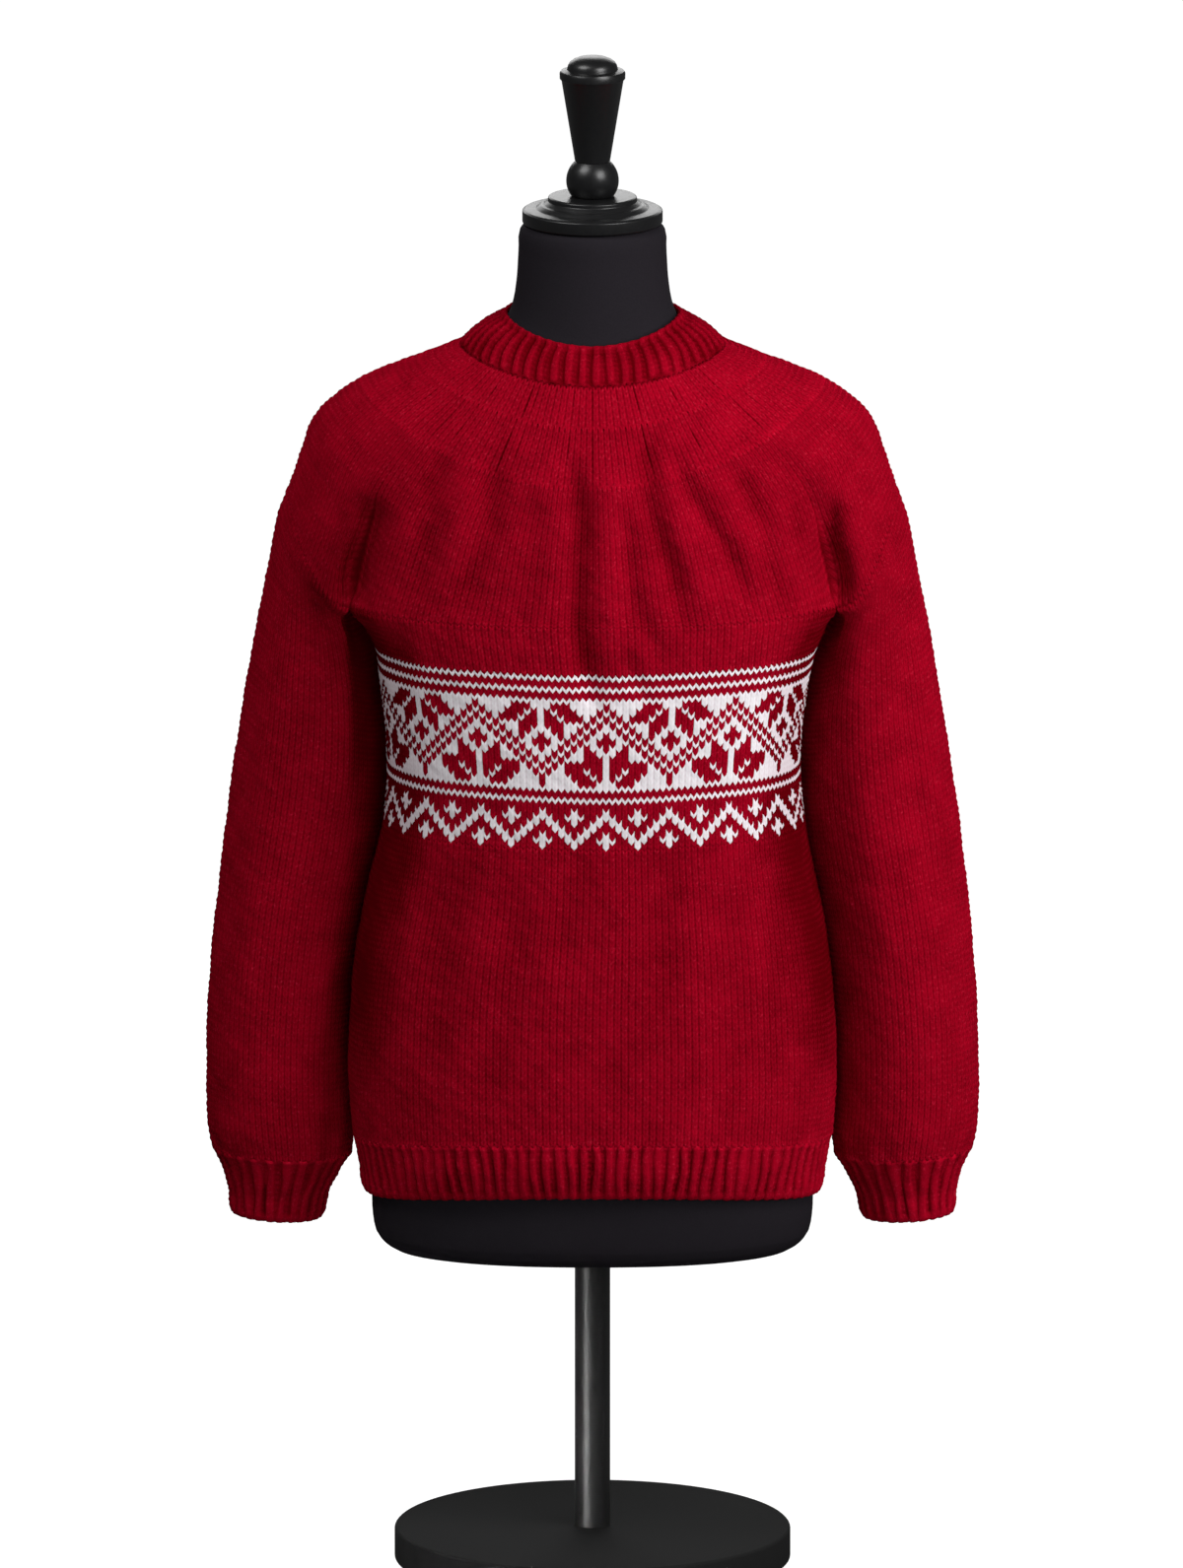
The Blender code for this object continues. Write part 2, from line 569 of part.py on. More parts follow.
def add_sleeve(name, side, yoke, yoke_normals):
    rings = sleeve_rings(yoke[-1])
    normals = normals_of(rings)
    normals[0] = level(normals[0])
    normals[-1] = level(normals[-1])
    normals[0][1:SLEEVE_OUTER] = yoke_normals[-1][BODY_FRONT + 1 : BODY_FRONT + SLEEVE_OUTER]
    outer = sleeve_folded(rings, normals, side)
    inner = outer - normals * WALL
    if side < 0:
        outer, inner = flipped(outer), flipped(inner)
    add_wall(name, outer, inner, WOOL)


def add_cuff(name, side):
    count = CUFF_RIBS * len(RIB_SHAPE)
    angles = np.linspace(0, 2 * math.pi, FINE_POINTS)
    shares = np.linspace(0, 1, count + 1)[:-1]
    rings = np.array([spaced(sleeve_oval(row, angles - math.pi), shares) for row in CUFF])
    if side < 0:
        rings = flipped(rings)
    add_ribbing(name, rings, RIB_WALL, level_top=True)


def add_form(yoke, yoke_normals):
    """Neck, shoulders and torso. Its shoulders lie a seat gap under the cloth."""
    count = len(yoke[0]) // FORM_STEP
    shares = np.linspace(0, 1, count // 2 + 1)
    rings = [mirrored(spaced(half_oval(ring), shares)) for ring in FORM_NECK]
    band = np.array([mirrored(spaced(half_oval(ring), shares)) for ring in NECKBAND])
    band = band - normals_of(band) * (NECKBAND_WALL + NECKBAND_GAP)
    rings.append(band[SEATED_NECKBAND_RING])
    for number, ease in CHEST_EASE.items():
        ring = yoke[number][::FORM_STEP]
        towards_chest = (ring[:, 1] / np.abs(ring[:, 1]).max()) ** 2
        gap = WALL + SEAT_GAP + ease * towards_chest
        rings.append(ring - yoke_normals[number][::FORM_STEP] * gap[:, None])
    rings += [mirrored(spaced(half_oval(ring), shares)) for ring in FORM_TORSO]
    add_lofted("form_torso", rings, JERSEY)


def finial_profile():
    ball = []
    for latitude in BALL_ANGLES:
        angle = math.radians(latitude)
        ball.append(Turn(BALL_RADIUS * math.cos(angle), BALL_Z + BALL_RADIUS * math.sin(angle)))
    foot_z = CAP[0].z + FLAT_GAP
    ball[-1] = Turn(ball[-1].radius, foot_z)
    return FINIAL_STEM + tuple(ball) + (Turn(0.0, foot_z),)


def pole_profile():
    top = TORSO_FLOOR_Z - FLAT_GAP
    foot = BASE_HEIGHT + FLAT_GAP
    return (Turn(0.0, top), Turn(POLE_RADIUS, top), Turn(POLE_RADIUS, foot), Turn(0.0, foot))


def base_profile():
    profile = [Turn(0.0, BASE_HEIGHT)]
    for degrees in (90, 50, 0):
        angle = math.radians(degrees)
        reach = BASE_RADIUS - BASE_EDGE + BASE_EDGE * math.cos(angle)
        profile.append(Turn(reach, BASE_HEIGHT - BASE_EDGE + BASE_EDGE * math.sin(angle)))
    profile.append(Turn(BASE_RADIUS, BASE_FOOT_EDGE))
    profile.append(Turn(BASE_RADIUS - BASE_FOOT_EDGE, 0.0))
    profile.append(Turn(0.0, 0.0))
    return tuple(profile)


def main():
    clear_scene()
    yoke, yoke_normals = add_yoke()
    add_body(yoke, yoke_normals)
    add_hem_rib()
    add_neckband()
    for name, side in (("right", 1), ("left", -1)):
        add_sleeve("sleeve_" + name, side, yoke, yoke_normals)
        add_cuff("cuff_" + name, side)
    add_form(yoke, yoke_normals)
    add_turned("neck_cap", CAP, CAP_WOOD)
    add_turned("finial", finial_profile(), FINIAL_WOOD)
    add_turned("pole", pole_profile(), POLE_METAL)
    add_turned("base", base_profile(), BASE_METAL)


main()
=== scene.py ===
import math

import bpy
import numpy as np
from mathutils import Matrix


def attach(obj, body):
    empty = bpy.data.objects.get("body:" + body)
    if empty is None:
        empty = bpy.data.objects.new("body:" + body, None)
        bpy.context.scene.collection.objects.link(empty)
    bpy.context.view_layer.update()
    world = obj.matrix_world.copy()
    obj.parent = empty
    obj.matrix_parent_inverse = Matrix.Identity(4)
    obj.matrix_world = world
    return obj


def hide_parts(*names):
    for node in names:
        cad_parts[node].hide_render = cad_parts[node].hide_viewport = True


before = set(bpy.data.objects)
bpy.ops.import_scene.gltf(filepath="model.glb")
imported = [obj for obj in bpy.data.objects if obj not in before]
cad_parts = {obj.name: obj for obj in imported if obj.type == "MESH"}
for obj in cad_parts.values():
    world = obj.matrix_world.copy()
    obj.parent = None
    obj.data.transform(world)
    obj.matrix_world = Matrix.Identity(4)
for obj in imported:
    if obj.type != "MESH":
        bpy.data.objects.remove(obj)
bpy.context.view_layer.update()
bpy.ops.object.select_all(action="DESELECT")
print("frame loaded:", len(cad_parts), "nodes")


# ---- outlines of the garment, metres, front towards -Y ----

def spaced(points, shares):
    # points at these shares of a polyline's length
    lengths = np.linalg.norm(np.diff(points, axis=0), axis=1)
    reached = np.concatenate([[0.0], np.cumsum(lengths)])
    wanted = np.asarray(shares) * reached[-1]
    return np.stack([np.interp(wanted, reached, points[:, axis]) for axis in range(3)], axis=1)


finePoints = 2161  # of an outline, before its stitches are shared out


def halfOval(row):
    # half a ring, from the front centre round +X to the back centre
    halfWidth, sideY, sideZ, frontY, frontZ, backY, backZ, power = row
    angle = np.linspace(0.0, math.pi, finePoints)
    along = np.cos(angle)
    front = along > 0
    reach = np.where(front, frontY + sideY, backY - sideY)
    endZ = np.where(front, frontZ, backZ)
    x = halfWidth * np.sin(angle) ** (2 / power)
    y = sideY - np.sign(along) * reach * np.abs(along) ** (2 / power)
    z = sideZ + (endZ - sideZ) * along ** 2
    return np.stack([x, y, z], axis=1)


def mirrored(half):
    return np.concatenate([half, half[-2:0:-1] * (-1, 1, 1)])


def otherSide(rings):
    # the same rings on the -X side, with the same stitch first
    return np.roll(rings[:, ::-1] * (-1, 1, 1), 1, axis=1)


def smoothStep(value):
    value = np.clip(value, 0, 1)
    return value * value * (3 - 2 * value)


def normalsOf(grid):
    along = np.roll(grid, -1, axis=1) - np.roll(grid, 1, axis=1)
    down = np.gradient(grid, axis=0)
    normal = np.cross(down, along)
    return normal / np.linalg.norm(normal, axis=2, keepdims=True)


def rowKnots(rings, rowCount, middle=None):
    # where each ring lies, counted in rows of stitches from the first one, by the front's middle stitches
    steps = np.linalg.norm(np.diff(rings[:, :middle], axis=0), axis=2).mean(axis=1)
    reached = np.concatenate([[0.0], np.cumsum(steps)])
    return reached / reached[-1] * rowCount


def curved(rings, knots, rows):
    # smooth curves down through the rings; rows has a line for each row and a column for each point
    tangents = np.gradient(rings, knots, axis=0)
    spot = np.clip(np.searchsorted(knots, rows, side="right") - 1, 0, len(knots) - 2)
    step = (knots[1:] - knots[:-1])[spot]
    way = (rows - knots[spot]) / step
    column = np.arange(rings.shape[1])[None, :]
    way, step = way[..., None], step[..., None]
    return (
        (2 * way**3 - 3 * way**2 + 1) * rings[spot, column]
        + (way**3 - 2 * way**2 + way) * step * tangents[spot, column]
        + (3 * way**2 - 2 * way**3) * rings[spot + 1, column]
        + (way**3 - way**2) * step * tangents[spot + 1, column]
    )


# ---- knitted cloth as a mesh: each stitch is a raised V of two legs ----

stitchShape = {
    "steps": 4,  # points across a stitch: gap, leg, middle, leg
    "lift": (0.68, 0.36, 0.0, 0.36),  # rows that each point stands above the foot of the V
    "crest": (-0.00110, 0.00015, -0.00050, 0.00015),  # metres, half way up a stitch
    "groove": (-0.00130, -0.00050, -0.00105, -0.00050),  # between two stitches
    "fullShade": 0.0012,  # metres down to where the yarn is in full shade
}
ribShape = {
    "steps": 8,  # a knit stitch of four points, then a purl stitch of four
    "lift": (0.45, 0.26, 0.0, 0.26, 0.45, 0.38, 0.32, 0.38),
    "crest": (-0.00230, 0.00005, -0.00030, 0.00010, -0.00100, -0.00120, -0.00110, -0.00220),
    "groove": (-0.00250, -0.00045, -0.00080, -0.00040, -0.00140, -0.00190, -0.00190, -0.00250),
    "fullShade": 0.0026,
}
handKnit = {
    "wander": 0.05,  # rows that a point strays
    "uneven": 0.00014,  # metres that a stitch stands out more or less than the next
    "bloom": 0.17,  # rows that the red yarn swells over a white stitch
    "plainFade": 0.8,  # how much of a plain edge's straightness goes with each row
    "deepest": 1.5,  # the depth that the relief alone can reach; 1 is full shade
}
liningKnit = {"depth": 0.6, "rows": 2.5}  # the inner side: its shade, and the rows from line to line
stitchSteps = stitchShape["steps"]
ribSteps = ribShape["steps"]


class ClothMesh:
    # gathers grids of points into one closed mesh, with stitch coordinates, yarn and depth; the depth is
    # painted shade for the wool
    def __init__(self):
        self.points = []
        self.depth = []
        self.count = 0
        self.faces = []
        self.places = []
        self.yarn = []
        self.sharp = []

    def addPoints(self, grid, depth):
        first = self.count
        self.points.append(grid.reshape(-1, 3))
        self.depth.append(np.broadcast_to(depth, grid.shape[:2]).reshape(-1))
        self.count += grid.shape[0] * grid.shape[1]
        return np.arange(first, self.count).reshape(grid.shape[:2])

    def addGrid(self, grid, depth, across, rows, outward, yarn=None):
        # across has one value more than the grid has columns, because the ring closes
        spots = self.addPoints(grid, depth)
        right = np.roll(spots, -1, axis=1)
        left = spots
        quads = np.stack([left[:-1], left[1:], right[1:], right[:-1]], axis=-1)
        leftU = np.broadcast_to(across[:-1], (len(rows), len(across) - 1))
        rightU = np.broadcast_to(across[1:], (len(rows), len(across) - 1))
        rowV = np.broadcast_to(-rows[:, None], leftU.shape)
        corners = [(leftU, 0), (leftU, 1), (rightU, 1), (rightU, 0)]
        places = np.stack(
            [np.stack([u[:-1], rowV[1:] if low else rowV[:-1]], axis=-1) for u, low in corners], axis=2
        )
        if not outward:
            quads = quads[..., ::-1]
            places = places[:, :, ::-1]
        self.faces += quads.reshape(-1, 4).tolist()
        self.places.append(places.reshape(-1, 2))
        self.yarn.append(np.zeros(quads.shape[:2]).reshape(-1) if yarn is None else yarn.reshape(-1))
        return spots

    def addStrip(self, upper, lower, sharp=False):
        # joins two closed loops of different counts, the upper one first, seen from outside
        upperCount, lowerCount = len(upper), len(lower)
        at, below, made = 0, 0, 0
        while at < upperCount or below < lowerCount:
            stepUpper = (at + 0.5) / upperCount <= (below + 0.5) / lowerCount
            if (stepUpper and at < upperCount) or below >= lowerCount:
                face = (upper[at % upperCount], lower[below % lowerCount], upper[(at + 1) % upperCount])
                at += 1
            else:
                face = (upper[at % upperCount], lower[below % lowerCount], lower[(below + 1) % lowerCount])
                below += 1
            if sharp:
                self.sharp.append(len(self.faces))
            self.faces.append([int(spot) for spot in face])
            made += 1
        self.places.append(np.zeros((made * 3, 2)))
        self.yarn.append(np.zeros(made))

    def finish(self, name, material):
        mesh = bpy.data.meshes.new(name)
        mesh.from_pydata(np.concatenate(self.points).tolist(), [], self.faces)
        stitches = mesh.uv_layers.new(name="stitches")
        stitches.data.foreach_set("uv", np.concatenate(self.places).astype(np.float32).ravel())
        yarn = mesh.attributes.new("yarn", "FLOAT", "FACE")
        yarn.data.foreach_set("value", np.concatenate(self.yarn).astype(np.float32))
        depth = mesh.attributes.new("depth", "FLOAT", "POINT")
        depth.data.foreach_set("value", np.concatenate(self.depth).astype(np.float32))
        mesh.materials.append(material)
        mesh.shade_smooth()
        for number in self.sharp:
            mesh.polygons[number].use_smooth = False
        piece = bpy.data.objects.new(name, mesh)
        bpy.context.scene.collection.objects.link(piece)
        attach(piece, "root")
        return piece


def stitchLines(first, last, shape, columns, plainTop=1.0, plainBottom=1.0):
    # the row that each point lies on: every line is a V under each stitch, but straight at a plain end
    lines = np.arange(round(2 * first), round(2 * last) + 1) / 2
    below, above = (lines - first)[:, None], (last - lines)[:, None]
    fade = handKnit["plainFade"]
    plainTop = plainTop * np.clip(1 - fade * below, 0, 1)
    plainBottom = plainBottom * np.clip(1 - fade * above, 0, 1)
    lift = np.tile(shape["lift"], columns // shape["steps"])[None, :]
    stitch, line = (np.arange(columns) / shape["steps"])[None, :], lines[:, None]
    wander = handKnit["wander"] * np.sin(1.9 * stitch + 0.8 * line) * np.sin(0.7 * line - 0.6 * stitch)
    return lines, line - (lift + wander) * (1 - np.maximum(plainTop, plainBottom))


def relief(lines, shape, columns, joins=()):
    # how far each point stands out, metres; whole lines are the grooves between stitches, but not at joins
    repeat = columns // shape["steps"]
    crest = np.tile(shape["crest"], repeat)[None, :]
    groove = np.tile(shape["groove"], repeat)[None, :]
    whole = (np.round(2 * lines) % 2 == 0) & ~np.isin(lines, joins)
    return np.where(whole[:, None], groove, crest)


def handMade(grid):
    # no two stitches of hand knitting are the same size
    x, y, z = grid[..., 0], grid[..., 1], grid[..., 2]
    wave = np.sin(310 * x + 170 * z) + np.sin(240 * y - 390 * z + 1.3) + np.sin(530 * z + 410 * x + 2.1)
    return handKnit["uneven"] * wave


def bloomed(rows, yarn):
    # the red yarn swells a little over the white stitches above and below it
    above = np.concatenate([yarn[:1], yarn])
    below = np.concatenate([yarn, yarn[-1:]])
    move = (below - above)[:, ::stitchSteps] * handKnit["bloom"]
    moves = np.repeat(move, stitchSteps, axis=1)
    moves[:, ::stitchSteps] = (move + np.roll(move, 1, axis=1)) / 2
    return rows + moves


def knitted(rings, knots, lines, rows, joins, bent, shade, shifted=None, colours=None):
    # the outer side of a stretch of knitting: its points, their depth (painted shade) and the yarn of each
    # face
    columns = rings.shape[1]
    if shifted is not None:
        rows = shifted(rows, columns)
    yarn = np.zeros((len(lines) - 1, columns))
    if colours is not None:
        row = np.floor((lines[:-1] + lines[1:]) / 2).astype(int)
        yarn = colours(row[:, None], (np.arange(columns) // stitchSteps)[None, :])
        rows = bloomed(rows, yarn)
    grid = curved(rings, knots, rows)
    grid = bent(grid, normalsOf(grid))
    normals = normalsOf(grid)
    out = relief(lines, stitchShape, columns, joins)
    grid = grid + normals * (out + handMade(grid))[..., None]
    # painted shade in the hollows between stitches, by how deep they lie, plus the piece's own painted
    # shade
    deep = -relief(lines, stitchShape, columns) / stitchShape["fullShade"]
    return grid, np.clip(deep, 0, handKnit["deepest"]) + shade(grid, normals), yarn


def lined(rings, knots, first, last, wall, rowStep, bent, shifted=None):
    # the plain inner side, with one point to a stitch
    lines = np.linspace(first, last, max(2, round((last - first) / rowStep) + 1))
    rows = np.repeat(lines[:, None], rings.shape[1], axis=1)
    if shifted is not None:
        rows = shifted(rows, rings.shape[1])
    grid = curved(rings, knots, rows)
    grid = bent(grid, normalsOf(grid))
    return (grid - normalsOf(grid) * wall)[:, ::stitchSteps]


def closeCloth(cloth, topSpots, bottomSpots, lining):
    # adds the inner side and both edges
    across, rows = np.arange(lining.shape[1] + 1.0), np.arange(len(lining)) * liningKnit["rows"]
    inner = cloth.addGrid(lining, liningKnit["depth"], across, rows, False)
    cloth.addStrip(inner[0], topSpots, sharp=True)
    cloth.addStrip(bottomSpots, inner[-1], sharp=True)


# ---- materials ----

class Wire:
    # one socket of a node tree, with Python's signs for its maths
    def __init__(self, tree, socket=None):
        self.tree = tree
        self.socket = socket

    def node(self, kind, settings=None, sockets=None, output=0):
        made = self.tree.nodes.new(kind)
        for name, value in (settings or {}).items():
            setattr(made, name, value)
        for name, value in (sockets or {}).items():
            if isinstance(value, Wire):
                self.tree.links.new(value.socket, made.inputs[name])
            else:
                made.inputs[name].default_value = value
        return Wire(self.tree, made.outputs[output])

    def math(self, operation, first, second=0.0):
        return self.node("ShaderNodeMath", {"operation": operation}, {0: first, 1: second})

    def __add__(self, other):
        return self.math("ADD", self, other)

    def __sub__(self, other):
        return self.math("SUBTRACT", self, other)

    def __mul__(self, other):
        return self.math("MULTIPLY", self, other)

    __radd__ = __add__
    __rmul__ = __mul__

    def __rsub__(self, other):
        return self.math("SUBTRACT", other, self)

    def clamped(self):
        return self.node("ShaderNodeMath", {"operation": "ADD", "use_clamp": True}, {0: self, 1: 0.0})

    def mixed(self, first, second):
        # first where this mask is 0, second where it is 1
        return self.node("ShaderNodeMix", {"data_type": "RGBA"}, {0: self, 6: first, 7: second}, 2)

    def noise(self, place, scale, detail):
        return self.node("ShaderNodeTexNoise", {}, {"Vector": place, "Scale": scale, "Detail": detail})

    def bump(self, strength, distance, height):
        sockets = {"Strength": strength, "Distance": distance, "Height": height}
        return self.node("ShaderNodeBump", {}, sockets)


def newMaterial(name, settings):
    material = bpy.data.materials.new(name)
    material.use_nodes = True
    shader = material.node_tree.nodes["Principled BSDF"]
    for socket, value in settings.items():
        shader.inputs[socket].default_value = value
    return material, shader, Wire(material.node_tree)


def connect(wire, shader, socket):
    wire.tree.links.new(wire.socket, shader.inputs[socket])


wool = {
    "red": (0.400, 0.0018, 0.0160, 1),
    # deepRed and deepWhite are painted shade for the hollows, and also dye and fibre tone; deepWhite is
    # also the red yarn showing between stitches
    "deepRed": (0.110, 0.0002, 0.0026, 1),
    "paleRed": (0.620, 0.0200, 0.0500, 1),
    "white": (0.98, 0.95, 0.98, 1),
    "deepWhite": (0.50, 0.30, 0.36, 1),
    "patches": 42,  # of the uneven dye, per metre
    "flecks": 520,
    "fibres": 1700,
    "shadow": (0.70, 0.8, 0.7),  # how much the red darkens: painted shade by depth, and tone by fibres and dye patches
    "whiteShadow": (0.30, 0.2),  # and the white by depth (painted shade, and the red yarn showing between white stitches) and by fibres
    "fleckFrom": 0.57,
    "fleckGain": 2.6,
    "plyTwist": (2.0, 5.0),  # turns of the plies for a row, and for a stitch across
    "fibreBump": 0.00022,
    "plyBump": 0.00016,
    "bumpStrength": 0.7,
}


def makeWool():
    material, shader, wire = newMaterial("wool", {"Roughness": 0.95, "Specular IOR Level": 0.0})
    place = wire.node("ShaderNodeTexCoord", output=3)
    yarn = wire.node("ShaderNodeAttribute", {"attribute_name": "yarn"}, output=2)
    depth = wire.node("ShaderNodeAttribute", {"attribute_name": "depth"}, output=2)
    stitch = wire.node("ShaderNodeUVMap", {"uv_map": "stitches"})
    patches = wire.noise(place, wool["patches"], 3.0) - 0.5
    fibres = wire.noise(place, wool["fibres"], 2.0)
    u = wire.node("ShaderNodeSeparateXYZ", {}, {"Vector": stitch}, 0)
    v = wire.node("ShaderNodeSeparateXYZ", {}, {"Vector": stitch}, 1)
    side = wire.math("PINGPONG", u, 0.5)
    perRow, perStitch = wool["plyTwist"]
    ply = wire.math("SINE", (v * perRow + side * perStitch) * (2 * math.pi))
    flecks = wire.noise(place, wool["flecks"], 1.0)
    byDepth, byFibres, byPatches = wool["shadow"]
    # painted shade by depth, with dye patches and fibre tone
    shadow = (depth * byDepth + (fibres - 0.5) * byFibres + patches * byPatches).clamped()
    lit = ((flecks - wool["fleckFrom"]) * wool["fleckGain"]).clamped()
    red = (lit * (1.0 - shadow)).mixed(shadow.mixed(wool["red"], wool["deepRed"]), wool["paleRed"])
    byDepth, byFibres = wool["whiteShadow"]
    white = (depth * byDepth + (fibres - 0.5) * byFibres).mixed(wool["white"], wool["deepWhite"])
    connect(yarn.mixed(red, white), shader, "Base Color")
    height = fibres * wool["fibreBump"] + ply * wool["plyBump"]
    connect(wire.bump(wool["bumpStrength"], 1.0, height), shader, "Normal")
    return material


woolMaterial = makeWool()
print("wool made")


# ---- folds, where the cloth hangs from the shoulders and round the waist ----

bodyFolds = (  # side (-1 is the front), xTop, zTop, xFoot, zFoot, halfWidth, depth
    (-1, -0.016, 0.892, -0.002, 0.668, 0.0085, 0.0066),
    (-1, 0.010, 0.900, 0.020, 0.700, 0.0150, -0.0038),
    (-1, 0.036, 0.912, 0.068, 0.740, 0.0090, 0.0056),
    (-1, 0.052, 0.890, 0.090, 0.736, 0.0130, -0.0024),
    (-1, 0.018, 0.850, 0.050, 0.706, 0.0080, 0.0026),
    (-1, 0.058, 0.896, 0.124, 0.756, 0.0090, 0.0040),
    (-1, 0.106, 0.886, 0.150, 0.758, 0.0100, 0.0034),
    (-1, 0.090, 0.880, 0.134, 0.760, 0.0120, -0.0016),
    (-1, -0.034, 0.890, -0.046, 0.720, 0.0150, -0.0020),
    (-1, -0.066, 0.896, -0.098, 0.752, 0.0100, 0.0038),
    (-1, -0.108, 0.896, -0.142, 0.756, 0.0110, 0.0038),
    (-1, -0.084, 0.890, -0.120, 0.756, 0.0130, -0.0018),
    (-1, -0.042, 0.860, -0.050, 0.730, 0.0100, 0.0026),
    (-1, -0.144, 0.884, -0.174, 0.756, 0.0110, 0.0014),
    (-1, 0.144, 0.884, 0.174, 0.756, 0.0110, 0.0018),
    (-1, -0.168, 0.848, -0.184, 0.746, 0.0100, 0.0078),
    (-1, 0.183, 0.848, 0.185, 0.746, 0.0095, 0.0068),
    (-1, 0.024, 0.786, 0.032, 0.680, 0.0090, 0.0026),
    (-1, -0.104, 0.572, -0.132, 0.380, 0.0170, 0.0026),
    (-1, -0.056, 0.556, -0.080, 0.360, 0.0150, 0.0020),
    (-1, -0.016, 0.590, -0.024, 0.470, 0.0120, 0.0020),
    (-1, 0.060, 0.590, 0.050, 0.400, 0.0150, 0.0022),
    (-1, 0.096, 0.560, 0.118, 0.370, 0.0180, 0.0020),
    (-1, 0.140, 0.520, 0.150, 0.350, 0.0140, 0.0018),
    (-1, 0.022, 0.480, 0.016, 0.350, 0.0160, 0.0012),
    (1, 0.020, 0.860, 0.012, 0.660, 0.0160, 0.0036),
    (1, -0.070, 0.862, -0.112, 0.700, 0.0160, 0.0030),
    (1, 0.092, 0.856, 0.130, 0.704, 0.0160, 0.0028),
    (1, -0.030, 0.850, -0.044, 0.730, 0.0130, 0.0020),
    (1, -0.056, 0.610, -0.084, 0.380, 0.0200, 0.0034),
    (1, 0.060, 0.600, 0.096, 0.390, 0.0200, 0.0032),
    (1, 0.006, 0.560, 0.010, 0.400, 0.0180, 0.0018),
)
sleeveFolds = (  # side, degrees from the outer side round the front, zTop, zFoot, halfWidth, depth
    (-1, -164, 0.775, 0.440, 0.0260, -0.0085),
    (1, -164, 0.775, 0.440, 0.0260, -0.0050),
    (-1, 88, 0.800, 0.520, 0.0130, 0.0034),
    (-1, 114, 0.790, 0.560, 0.0110, -0.0026),
    (-1, 30, 0.700, 0.420, 0.0160, 0.0016),
    (-1, 104, 0.560, 0.360, 0.0150, 0.0020),
    (-1, 84, 0.470, 0.330, 0.0130, 0.0016),
    (-1, -70, 0.700, 0.450, 0.0180, 0.0030),
    (-1, -30, 0.560, 0.360, 0.0160, 0.0020),
    (1, 58, 0.770, 0.480, 0.0130, 0.0036),
    (1, 38, 0.580, 0.370, 0.0150, 0.0020),
    (1, 102, 0.790, 0.440, 0.0150, -0.0030),
    (1, -80, 0.680, 0.430, 0.0180, 0.0030),
    (1, -40, 0.540, 0.350, 0.0160, 0.0020),
)
hanging = {
    "foldFade": 0.24,  # of a fold's length, at both its ends
    "foldSway": 0.0035,  # metres that it strays from its line
    "sideFade": 0.03,  # metres from the side seams' plane to where a fold is whole
    "foldShade": 70.0,  # of the yarn's depth, per metre
    "bodyWaves": 0.0004,
    "sleeveWaves": 0.0005,
    "wavesTop": 0.75,
    "wavesFade": 0.05,
    "gathers": 0.0011,  # above the cuffs
    "gathersTop": 0.340,
    "gathersFade": 0.03,
}
leaning = {  # between the arms and the waist the stitches run a little towards +X
    "top": 0.76,
    "topFade": 0.07,
    "foot": 0.43,
    "footFade": 0.12,
    "move": 0.0030,
    "narrowing": 0.018,  # metres for each metre from the middle
    "halfWidth": 0.172,  # where nothing moves any more
}
# the body is drawn in under one arm, from this x on and round this height
drawnIn = {"by": 0.0060, "x": -0.13, "fade": 0.03, "z": 0.718, "height": 0.022}
armShadow = {  # the dark between an arm and the body
    "depth": 1.1,
    "top": 0.79,
    "topFade": 0.05,
    "foot": 0.33,
    "footFade": 0.14,
    "turned": 0.50,  # how far a place has to face the other cloth
    "turnedFade": 0.45,
    "litShare": 0.4,  # what is left of it on the +X sleeve, which the light reaches
}


def trough(across, top, foot, height, halfWidth, depth):
    fade = hanging["foldFade"] * (top - foot)
    run = smoothStep((top - height) / fade) * smoothStep((height - foot) / fade)
    return depth * run * np.exp(-((across / halfWidth) ** 2))


def bodySunk(grid):
    x, y, z = grid[..., 0], grid[..., 1], grid[..., 2]
    sunk = np.zeros(x.shape)
    for side, xTop, zTop, xFoot, zFoot, halfWidth, depth in bodyFolds:
        way = (zTop - z) / (zTop - zFoot)
        sway = hanging["foldSway"] * np.sin(2.6 * math.pi * way + 40 * xTop)
        centre = xTop + (xFoot - xTop) * way + sway
        whole = smoothStep(side * y / hanging["sideFade"])
        sunk += whole * trough(x - centre, zTop, zFoot, z, halfWidth, depth)
    return sunk + hanging["bodyWaves"] * np.sin(52 * x + 31 * z) * np.sin(47 * z - 23 * x + 40 * y)


def bodyBent(grid, normals):
    x, z = grid[..., 0], grid[..., 2]
    grid = grid - normals * bodySunk(grid)[..., None]
    share = smoothStep((leaning["top"] - z) / leaning["topFade"])
    share = share * smoothStep((z - leaning["foot"]) / leaning["footFade"])
    edge = np.clip(1 - (x / leaning["halfWidth"]) ** 6, 0, 1)
    grid[..., 0] += share * (leaning["move"] - leaning["narrowing"] * x) * edge
    near = smoothStep((drawnIn["x"] - x) / drawnIn["fade"])
    grid[..., 0] += drawnIn["by"] * near * np.exp(-(((z - drawnIn["z"]) / drawnIn["height"]) ** 2))
    return grid


def armShade(grid, normals, side):
    # side is 0 for the body
    z = grid[..., 2]
    towards = -side * normals[..., 0] if side else np.abs(normals[..., 0])
    near = smoothStep((armShadow["top"] - z) / armShadow["topFade"])
    near = near * smoothStep((z - armShadow["foot"]) / armShadow["footFade"])
    facing = smoothStep((towards - armShadow["turned"]) / armShadow["turnedFade"])
    return armShadow["depth"] * near * facing * (armShadow["litShare"] if side > 0 else 1.0)


def yokeShade(grid, normals):
    return hanging["foldShade"] * bodySunk(grid)


def bodyShade(grid, normals):
    return armShade(grid, normals, 0) + yokeShade(grid, normals)


